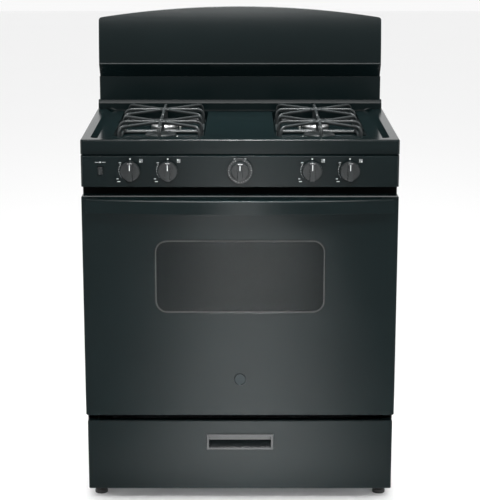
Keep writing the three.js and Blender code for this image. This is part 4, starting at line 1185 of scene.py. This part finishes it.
def dial_scale():
    """Ring of marks printed on the oven dial's skirt."""
    low, high, middle = span("knob_oven")
    back, dial = high.y, (high.x - low.x) / 2
    count = shapes().dial_marks
    parts = []
    for i in range(count):
        angle = math.radians(115 + 310 * i / (count - 1))
        long = 2.6 * MM if i % 5 == 0 else 1.6 * MM
        rim = dial - 3.0 * MM
        tick = block((rim - long, -0.35 * MM, DIAL_THICK - MM), (rim, 0.35 * MM, DIAL_THICK + MARK_LIFT))
        place = Matrix.Translation((middle.x, back, middle.z)) @ Matrix.Rotation(math.radians(90), 4, "X")
        tick.transform(place @ Matrix.Rotation(angle, 4, "Z"))
        parts.append(tick)
    return merged(*parts)


class RANGE_OT_knobs(bpy.types.Operator):
    """Moulds the five knobs, their stems, pointers, the oven dial and the rocker switch"""

    bl_idname = "range.knobs"
    bl_label = "Knobs and switch"

    def execute(self, context):
        for name in KNOBS:
            body = f"knob_{name}"
            piece(knob(name), f"control_{name}", body, "plastic", [body])
            pointer(name, span(f"knob_{name}")[0])
            refined(f"stem_{name}", f"valve_stem_{name}", "steel", 0.3 * MM)
        piece(dial_scale(), "oven_dial_scale", "knob_oven", "mark")
        refined("light_switch", "rocker", "plastic", 0.8 * MM, 3)
        return {"FINISHED"}


# ---------------------------------------------------------------- oven door

GLASS_LAP = 14 * MM
WINDOW_CORNER = 30 * MM
HINGE_SLOT = 4 * MM
HANDLE_BOW = 25 * MM
HANDLE_THICK = 9 * MM
HANDLE_POST = 26 * MM


def window_hole(grow, y0, y1):
    """A rounded block where the window goes, from depth y0 to y1."""
    low, high, _ = span("door_glass")
    inset = GLASS_LAP - grow
    bm = block((low.x + inset, y0, low.z + inset), (high.x - inset, y1, high.z - inset))
    return rounded(bm, WINDOW_CORNER + grow, 10, runs_along(Y))


def hinge_slots(y0, y1, z0, z1):
    """Cutters that let the hinge arms through."""
    tools = []
    for side, _ in SIDES:
        middle = span(f"hinge_arm_{side}")[2]
        tools.append(block((middle.x - HINGE_SLOT, y0, z0), (middle.x + HINGE_SLOT, y1, z1)))
    return tools


SLANT_RISE = 3.4 * MM
SLANT_RUN = 1.5 * MM
HANDLE_END = 8 * MM


def door_skin():
    """Outer door pressing with its window opening, its edge round the opening rounded off."""
    low, high, middle = span("door_panel")
    middle_z = middle.z
    side = [(low.y, low.z), (low.y, high.z - SLANT_RISE), (low.y + SLANT_RUN, high.z)]
    side += [(high.y, high.z), (high.y, low.z)]
    bm = prism([(low.x, y, z) for y, z in side], X * (high.x - low.x))
    half_height = (high.z - low.z) / 2

    def at_corner(e):
        return runs_along(Y)(e) and near(abs(e.verts[0].co.z - middle_z), half_height)

    rounded(bm, 4 * MM, 5, at_corner)
    rounded(bm, shapes().door_edge, 4, lambda e: all(near(v.co.y, low.y) for v in e.verts))
    shelled(bm, WALL, lambda face: face.normal.y > 0.9)
    bm = cut(bm, window_hole(0, low.y - 5 * MM, low.y + 5 * MM))
    edge = shapes().window_edge
    half = span("door_glass")[1].x - GLASS_LAP

    def on_window(e):
        on_face = all(near(v.co.y, low.y, 0.05 * MM) and abs(v.co.x) <= half + MM for v in e.verts)
        return on_face and low.z + 60 * MM < e.verts[0].co.z < high.z - 60 * MM

    rounded(bm, min(edge, WALL * 0.8), 3, on_window)
    return cut(bm, *hinge_slots(low.y + 6 * MM, high.y + 5 * MM, low.z - 5 * MM, low.z + 5 * MM))


def window_frame():
    """Thin seal ring between the sheet and the glass."""
    low, _, _ = span("door_panel")
    outer = window_hole(-0.4 * MM, low.y + 0.5 * MM, low.y + WALL + 0.2 * MM)
    return cut(outer, window_hole(-3.4 * MM, low.y - MM, low.y + 5 * MM))


def handle_band():
    """Bowed handle with rounded ends, a slanted top edge and an end post on each side."""
    low, high, _ = span("door_handle")
    half = high.x
    steps = 24
    bow = HANDLE_BOW
    radius = (half * half + bow * bow) / (2 * bow)
    rise = (high.z - low.z) / 2
    middle_z = (high.z + low.z) / 2
    bm = bmesh.new()
    section = [(0.0, -rise), (0.0, rise - SLANT_RISE), (SLANT_RUN, rise)]
    section += [(HANDLE_THICK, rise), (HANDLE_THICK, -rise)]
    face = bm.faces.new([bm.verts.new((0, y, z)) for y, z in section])
    sweep = math.asin((half - 0.5 * MM) / radius)
    centre = Vector((0, low.y + radius, 0))
    bmesh.ops.translate(bm, verts=bm.verts, vec=(0, low.y, middle_z))
    bmesh.ops.rotate(bm, verts=bm.verts, cent=centre, matrix=Matrix.Rotation(-sweep, 3, "Z"))
    geom = bm.verts[:] + bm.edges[:] + [face]
    bmesh.ops.spin(bm, geom=geom, cent=centre, axis=Z, angle=2 * sweep, steps=steps)
    bmesh.ops.recalc_face_normals(bm, faces=bm.faces)
    rounded(bm, 0.5 * MM, 2, lambda e: min(v.co.z for v in e.verts) > middle_z, angle=18.0)
    mask = block((-half, low.y - 5 * MM, low.z - 0.3 * MM), (half, high.y + 5 * MM, high.z + 0.3 * MM))
    bm = cut(bm, rounded(mask, HANDLE_END, 6, runs_along(Y)), operation="INTERSECT")
    rounded(bm, 1.4 * MM, 4, lambda e: max(v.co.z for v in e.verts) < middle_z, angle=50.0)
    rear = high.y
    posts = []
    for _, side in SIDES:
        x0, x1 = sorted((side * (half - 3 * MM), side * (half - 3 * MM - HANDLE_POST)))
        post = block((x0, low.y + bow + HANDLE_THICK / 2, low.z + 3 * MM), (x1, rear, high.z - 3 * MM))
        posts.append(rounded(post, 4 * MM, 5, runs_along(Y)))
    return cut(bm, *posts, operation="UNION")


def trim_ring():
    """Plain round badge: a raised ring with a dished middle."""
    low, high, middle = span("door_badge")
    r = (high.x - low.x) / 2
    lift = high.y - low.y
    outline = [(0, 0), (r, 0), (r, lift - 0.8 * MM), (r - 0.5 * MM, lift - 0.1 * MM), (r - 1.2 * MM, lift)]
    outline += [(r - 2.1 * MM, lift - 0.2 * MM), (r - 2.8 * MM, lift - 1.2 * MM)]
    outline += [(r * 0.5, lift - 1.4 * MM), (0, lift - 1.0 * MM)]
    return turned(outline, (middle.x, high.y, middle.z), -Y, 64)


class RANGE_OT_door(bpy.types.Operator):
    """Makes the oven door: skin, two panes, inner pressing, seal, badge and hinge arms"""

    bl_idname = "range.door"
    bl_label = "Oven door"

    def execute(self, context):
        piece(door_skin(), "door_skin", "door", "enamel", ["door_panel"])
        piece(window_frame(), "window_seal", "door", "rubber")
        refined("door_glass", "outer_pane", "glass", 0.6 * MM)
        refined("door_inner_panel", "inner_pressing", "oven", 0.4 * MM)
        refined("door_inner_glass", "inner_pane", "glass", 0.6 * MM)
        refined("door_gasket", "oven_seal", "seal", 2.0 * MM, 4)
        piece(trim_ring(), "round_badge", "door", "badge", ["door_badge"])
        for side, _ in SIDES:
            refined(f"hinge_arm_{side}", f"hinge_{side}", "steel", 0.5 * MM)
        return {"FINISHED"}


class RANGE_OT_handle(bpy.types.Operator):
    """Makes the bowed door handle"""

    bl_idname = "range.handle"
    bl_label = "Door handle"

    def execute(self, context):
        piece(handle_band(), "bowed_handle", "door", "enamel", ["door_handle"])
        return {"FINISHED"}


# ---------------------------------------------------------------- drawer

PULL_RIM = 6 * MM


def drawer_skin():
    """Drawer front pressing with the opening for its pull."""
    low, high, _ = span("drawer_front")
    bm = block(low, high)
    rounded(bm, 3 * MM, 4, runs_along(Y))
    rounded(bm, 2.4 * MM, 4, lambda e: all(near(v.co.y, low.y) for v in e.verts))
    shelled(bm, WALL, lambda face: face.normal.y > 0.9)
    a, b, _ = span("drawer_pull")
    gap = 0.4 * MM
    return cut(bm, block((a.x - gap, low.y - 5 * MM, a.z - gap), (b.x + gap, low.y + 5 * MM, b.z + gap)))


def pull_cup():
    """Finger pull: a bevelled frame, a dark recess and a sloped lower lip."""
    low, high, _ = span("drawer_pull")
    body = block(low, high)
    rounded(body, 1.2 * MM, 3, lambda e: all(near(v.co.y, low.y) for v in e.verts))
    back = high.y - WALL
    brow = high.z - PULL_RIM
    lip = low.z + PULL_RIM
    front = low.y
    section = [(front - 4 * MM, lip - 2 * MM), (front, lip), (back, (low.z + high.z) / 2)]
    section += [(back, brow + 3 * MM), (front + 3 * MM, brow), (front - 4 * MM, brow)]
    x0, x1 = low.x + PULL_RIM, high.x - PULL_RIM
    cup = prism([(x0, y, z) for y, z in section], X * (x1 - x0))
    bm = cut(body, cup)

    def round_the_cup(e):
        return all(near(v.co.y, front, 0.1 * MM) and x0 - MM < v.co.x < x1 + MM
                   and lip - MM < v.co.z < brow + MM for v in e.verts)

    return rounded(bm, 0.8 * MM, 2, round_the_cup)


class RANGE_OT_drawer(bpy.types.Operator):
    """Makes the storage drawer: front, pull, tray and rails"""

    bl_idname = "range.drawer"
    bl_label = "Drawer"

    def execute(self, context):
        piece(drawer_skin(), "drawer_skin", "drawer", "enamel", ["drawer_front"])
        piece(pull_cup(), "finger_pull", "drawer", "plastic", ["drawer_pull"])
        refined("drawer_box", "drawer_tray", "galvanised", 0.5 * MM)
        for side, _ in SIDES:
            refined(f"drawer_rail_{side}", f"rail_{side}", "galvanised", 0.5 * MM)
        return {"FINISHED"}


# ---------------------------------------------------------------- oven

RACK_ROD = 6 * MM
RACK_WIRE = 4 * MM
RACK_WIRES = 11


def oven_rack(node):
    """Chromed rack: a bent frame, wires from front to back and one rod across the middle."""
    low, high, _ = span(node)
    r = RACK_ROD / 2
    z = low.z + r
    half = high.x - r
    y0, y1 = low.y + r, high.y - r
    corners = [(-half, y0, z), (half, y0, z), (half, y1, z), (-half, y1, z)]
    rods = [tube(bent(corners, 14 * MM, closed=True), r, closed=True)]
    for i in range(1, RACK_WIRES + 1):
        x = -half + 2 * half * i / (RACK_WIRES + 1)
        rods.append(tube([(x, y0, z + MM), (x, y1, z + MM)], RACK_WIRE / 2))
    middle = (y0 + y1) / 2
    rods.append(tube([(-half, middle, z), (half, middle, z)], r - 0.5 * MM))
    return merged(*rods)


class RANGE_OT_oven(bpy.types.Operator):
    """Makes the oven: liner, bottom plate, burner tube, lamp and racks"""

    bl_idname = "range.oven"
    bl_label = "Oven"

    def execute(self, context):
        refined("oven_liner", "oven_cavity", "oven", 0.5 * MM)
        refined("oven_bottom", "oven_floor_plate", "oven", 0.4 * MM)
        refined("oven_burner", "oven_burner_tube", "steel", 1.2 * MM, 3)
        refined("oven_lamp_lens", "oven_lamp", "lamp", 0.6 * MM)
        for level in ("upper", "lower"):
            node = f"oven_rack_{level}"
            piece(oven_rack(node), f"wire_rack_{level}", f"rack_{level}", "chrome",
                  [f"oven_rack_{level}"], crease=60)
        return {"FINISHED"}


# ---------------------------------------------------------------- cabinet

SCREW_R = 4.2 * MM
SCREW_HIGH = 1.6 * MM
LOUVRE_COUNT = 9


def screw(at, axis):
    """Pan-head screw with a cross recess."""
    outline = [(0, -MM), (SCREW_R, -MM), (SCREW_R, 0.4 * MM)]
    outline += [(SCREW_R * 0.8, SCREW_HIGH * 0.8), (0, SCREW_HIGH)]
    head = turned(outline, at, axis, 20)
    turn = Vector(axis).to_track_quat("Z", "Y").to_matrix().to_4x4()
    tools = []
    for size in ((2.4 * MM, 0.35 * MM), (0.35 * MM, 2.4 * MM)):
        slot = block((-size[0], -size[1], 0.7 * MM), (size[0], size[1], 3 * MM))
        slot.transform(Matrix.Translation(at) @ turn)
        tools.append(slot)
    return cut(head, *tools)


def rear_screws():
    """Screws down both sides of the rear panel and along its foot."""
    low, high, _ = span("rear_panel")
    y = high.y
    heads = []
    for z in [low.z + 12 * MM + i * (high.z - low.z - 24 * MM) / 5 for i in range(6)]:
        for side in (-1, 1):
            heads.append(screw((side * (high.x - 9 * MM), y, z), Y))
    for x in (-0.22, 0.0, 0.22):
        heads.append(screw((x, y, low.z + 12 * MM), Y))
    return merged(*heads)


def side_screws(sign):
    """Four screws in a side panel, one low and one high near its front and its rear edge."""
    low, high, _ = span("side_panel_right" if sign > 0 else "side_panel_left")
    x = high.x if sign > 0 else low.x
    heads = []
    for y in (low.y + 14 * MM, high.y - 14 * MM):
        for z in (low.z + 22 * MM, high.z - 60 * MM):
            heads.append(screw((x - sign * (SCREW_HIGH - 0.9 * MM), y, z), X * sign))
    return merged(*heads)


LOUVRE_LENGTH = 220 * MM


def rear_louvres():
    """Pressed louvres behind the oven."""
    low, high, middle = span("rear_panel")
    y = high.y
    parts = []
    for i in range(LOUVRE_COUNT):
        z = middle.z + 40 * MM + i * 22 * MM
        for x in (-0.17, 0.17):
            start = x - LOUVRE_LENGTH / 2
            near_y = y - 0.5 * MM
            section = [(start, near_y, z), (start, y + 4 * MM, z + 2 * MM), (start, near_y, z + 11 * MM)]
            lip = prism(section, X * LOUVRE_LENGTH)
            parts.append(rounded(lip, 1.0 * MM, 2))
    return merged(*parts)


def rear_sheet():
    """Galvanised back sheet with rounded edges."""
    return rounded(copied("rear_panel"), 0.4 * MM, 2)


def cord_gland():
    """Moulded strain-relief bush where the supply lead would leave the back."""
    high = span("rear_panel")[1]
    at = (-0.26, high.y - MM, 0.16)
    outline = [(3.5 * MM, 0), (13 * MM, 0), (13 * MM, 3 * MM), (10 * MM, 4 * MM)]
    outline += [(9 * MM, 6 * MM), (3.5 * MM, 6 * MM), (3.5 * MM, 0)]
    return turned(outline, at, Y, 32)


class RANGE_OT_cabinet(bpy.types.Operator):
    """Makes the cabinet: sides, base, front frame, back, feet, gas inlet and screws"""

    bl_idname = "range.cabinet"
    bl_label = "Cabinet"

    def execute(self, context):
        for side, sign in SIDES:
            refined(f"side_panel_{side}", f"side_{side}", "paint", 0.6 * MM)
            piece(side_screws(sign), f"side_screws_{side}", "body", "steel")
        refined("base_pan", "base_tray", "galvanised", 0.5 * MM)
        # The front frame takes painted shade: a near-black coat, darker than its real paint, standing in
        # for the shade in the gap round the door.
        refined("front_frame", "oven_front_frame", "shadow", 0.5 * MM)
        piece(rear_sheet(), "back_sheet", "body", "galvanised", ["rear_panel"])
        piece(rear_louvres(), "back_louvres", "body", "galvanised")
        piece(rear_screws(), "back_screws", "body", "steel")
        piece(cord_gland(), "lead_bush", "body", "rubber")
        refined("gas_inlet", "gas_elbow", "brass", 0.6 * MM)
        for row in ROWS:
            for side, _ in SIDES:
                foot = f"foot_{row}_{side}"
                refined(foot, f"levelling_{foot}", "rubber", 0.6 * MM)
        return {"FINISHED"}


# ---------------------------------------------------------------- studio

FLOOR_HALF = 14.0


STRIP_X = 0.03
STRIP_AHEAD = 2.9
STRIP_HEIGHT = 2.4
LAMP_HEIGHT = 3.2


def area_light(name, at, aim, size, power):
    light = bpy.data.lights.new(name, "AREA")
    light.shape = "RECTANGLE"
    light.size, light.size_y = size
    light.energy = power
    made = bpy.data.objects.new(name, light)
    made.location = at
    made.rotation_euler = (Vector(aim) - Vector(at)).to_track_quat("-Z", "Y").to_euler()
    bpy.context.scene.collection.objects.link(made)
    return made


class RANGE_OT_stage(bpy.types.Operator):
    """Sets up the pale floor, the white room, the soft lights and the camera"""

    bl_idname = "range.stage"
    bl_label = "Studio"

    def execute(self, context):
        stage = stage_settings()
        scene = context.scene
        scene.view_settings.view_transform = "Standard"
        world = bpy.data.worlds.new("white_room")
        world.use_nodes = True
        world.node_tree.nodes["Background"].inputs["Color"].default_value = (1, 1, 1, 1)
        world.node_tree.nodes["Background"].inputs["Strength"].default_value = stage.surround
        scene.world = world

        bm = bmesh.new()
        bmesh.ops.create_grid(bm, x_segments=1, y_segments=1, size=FLOOR_HALF)
        mesh = bpy.data.meshes.new("studio_floor")
        bm.to_mesh(mesh)
        bm.free()
        floor = bpy.data.objects.new("studio_floor", mesh)
        mesh.materials.append(finish_of("floor"))
        scene.collection.objects.link(floor)

        front = span("cooktop")[0].y
        over = Vector((STRIP_X, front - STRIP_AHEAD, 0))
        strip = area_light("front_light", over + Z * STRIP_HEIGHT, over, (0.2, 5.6), stage.key_power)
        strip.data.spread = math.radians(19)
        ahead = (0, front - 3.0, LAMP_HEIGHT)
        high = area_light("high_light", ahead, (0, 0.2, 1.0), (2.6, 1.0), stage.high_power)
        high.data.spread = math.radians(50)
        for name, side in SIDES:
            beside = (side * 2.6, front - 1.0, 1.2)
            area_light(f"{name}_light", beside, (0, 0, 0.7), (0.6, 2.2), stage.side_power)
        top = area_light("top_light", (0, 0.3, LAMP_HEIGHT), (0, 0.05, 0.9), (0.8, 0.4), stage.top_power)
        top.data.spread = math.radians(24)

        camera = bpy.data.cameras.new("view")
        camera.lens = stage.lens
        eye = bpy.data.objects.new("view", camera)
        eye.location = (0, front - stage.eye_distance, stage.eye_height)
        eye.rotation_euler = (math.pi / 2 - stage.tilt, 0, 0)
        scene.collection.objects.link(eye)
        scene.camera = eye
        return {"FINISHED"}


# ---------------------------------------------------------------- panel and run

STEPS = (
    RANGE_OT_stage, RANGE_OT_cabinet, RANGE_OT_cooktop,
    RANGE_OT_burners, RANGE_OT_grates, RANGE_OT_backguard,
    RANGE_OT_control_panel, RANGE_OT_knobs, RANGE_OT_door, RANGE_OT_handle, RANGE_OT_drawer, RANGE_OT_oven,
)
GROUPS = (("range_shapes", RangeShapes), ("range_colours", RangeColours), ("range_stage", RangeStage))


class RANGE_PT_panel(bpy.types.Panel):
    """Lists the steps that build the range's looks"""

    bl_idname = "RANGE_PT_panel"
    bl_label = "Gas range"
    bl_space_type = "VIEW_3D"
    bl_region_type = "UI"
    bl_category = "Range"

    def draw(self, context):
        for name, group in GROUPS:
            box = self.layout.box()
            for key in group.__annotations__:
                box.prop(getattr(context.scene, name), key)
        for step in STEPS:
            self.layout.operator(step.bl_idname)


def register():
    for name, group in GROUPS:
        bpy.utils.register_class(group)
        setattr(bpy.types.Scene, name, PointerProperty(type=group))
    for step in (*STEPS, RANGE_PT_panel):
        bpy.utils.register_class(step)


def unregister():
    for step in (RANGE_PT_panel, *reversed(STEPS)):
        bpy.utils.unregister_class(step)
    for name, group in reversed(GROUPS):
        delattr(bpy.types.Scene, name)
        bpy.utils.unregister_class(group)


def main():
    register()
    for step in STEPS:
        group, name = step.bl_idname.split(".")
        getattr(getattr(bpy.ops, group), name)()


if __name__ == "__main__":
    main()
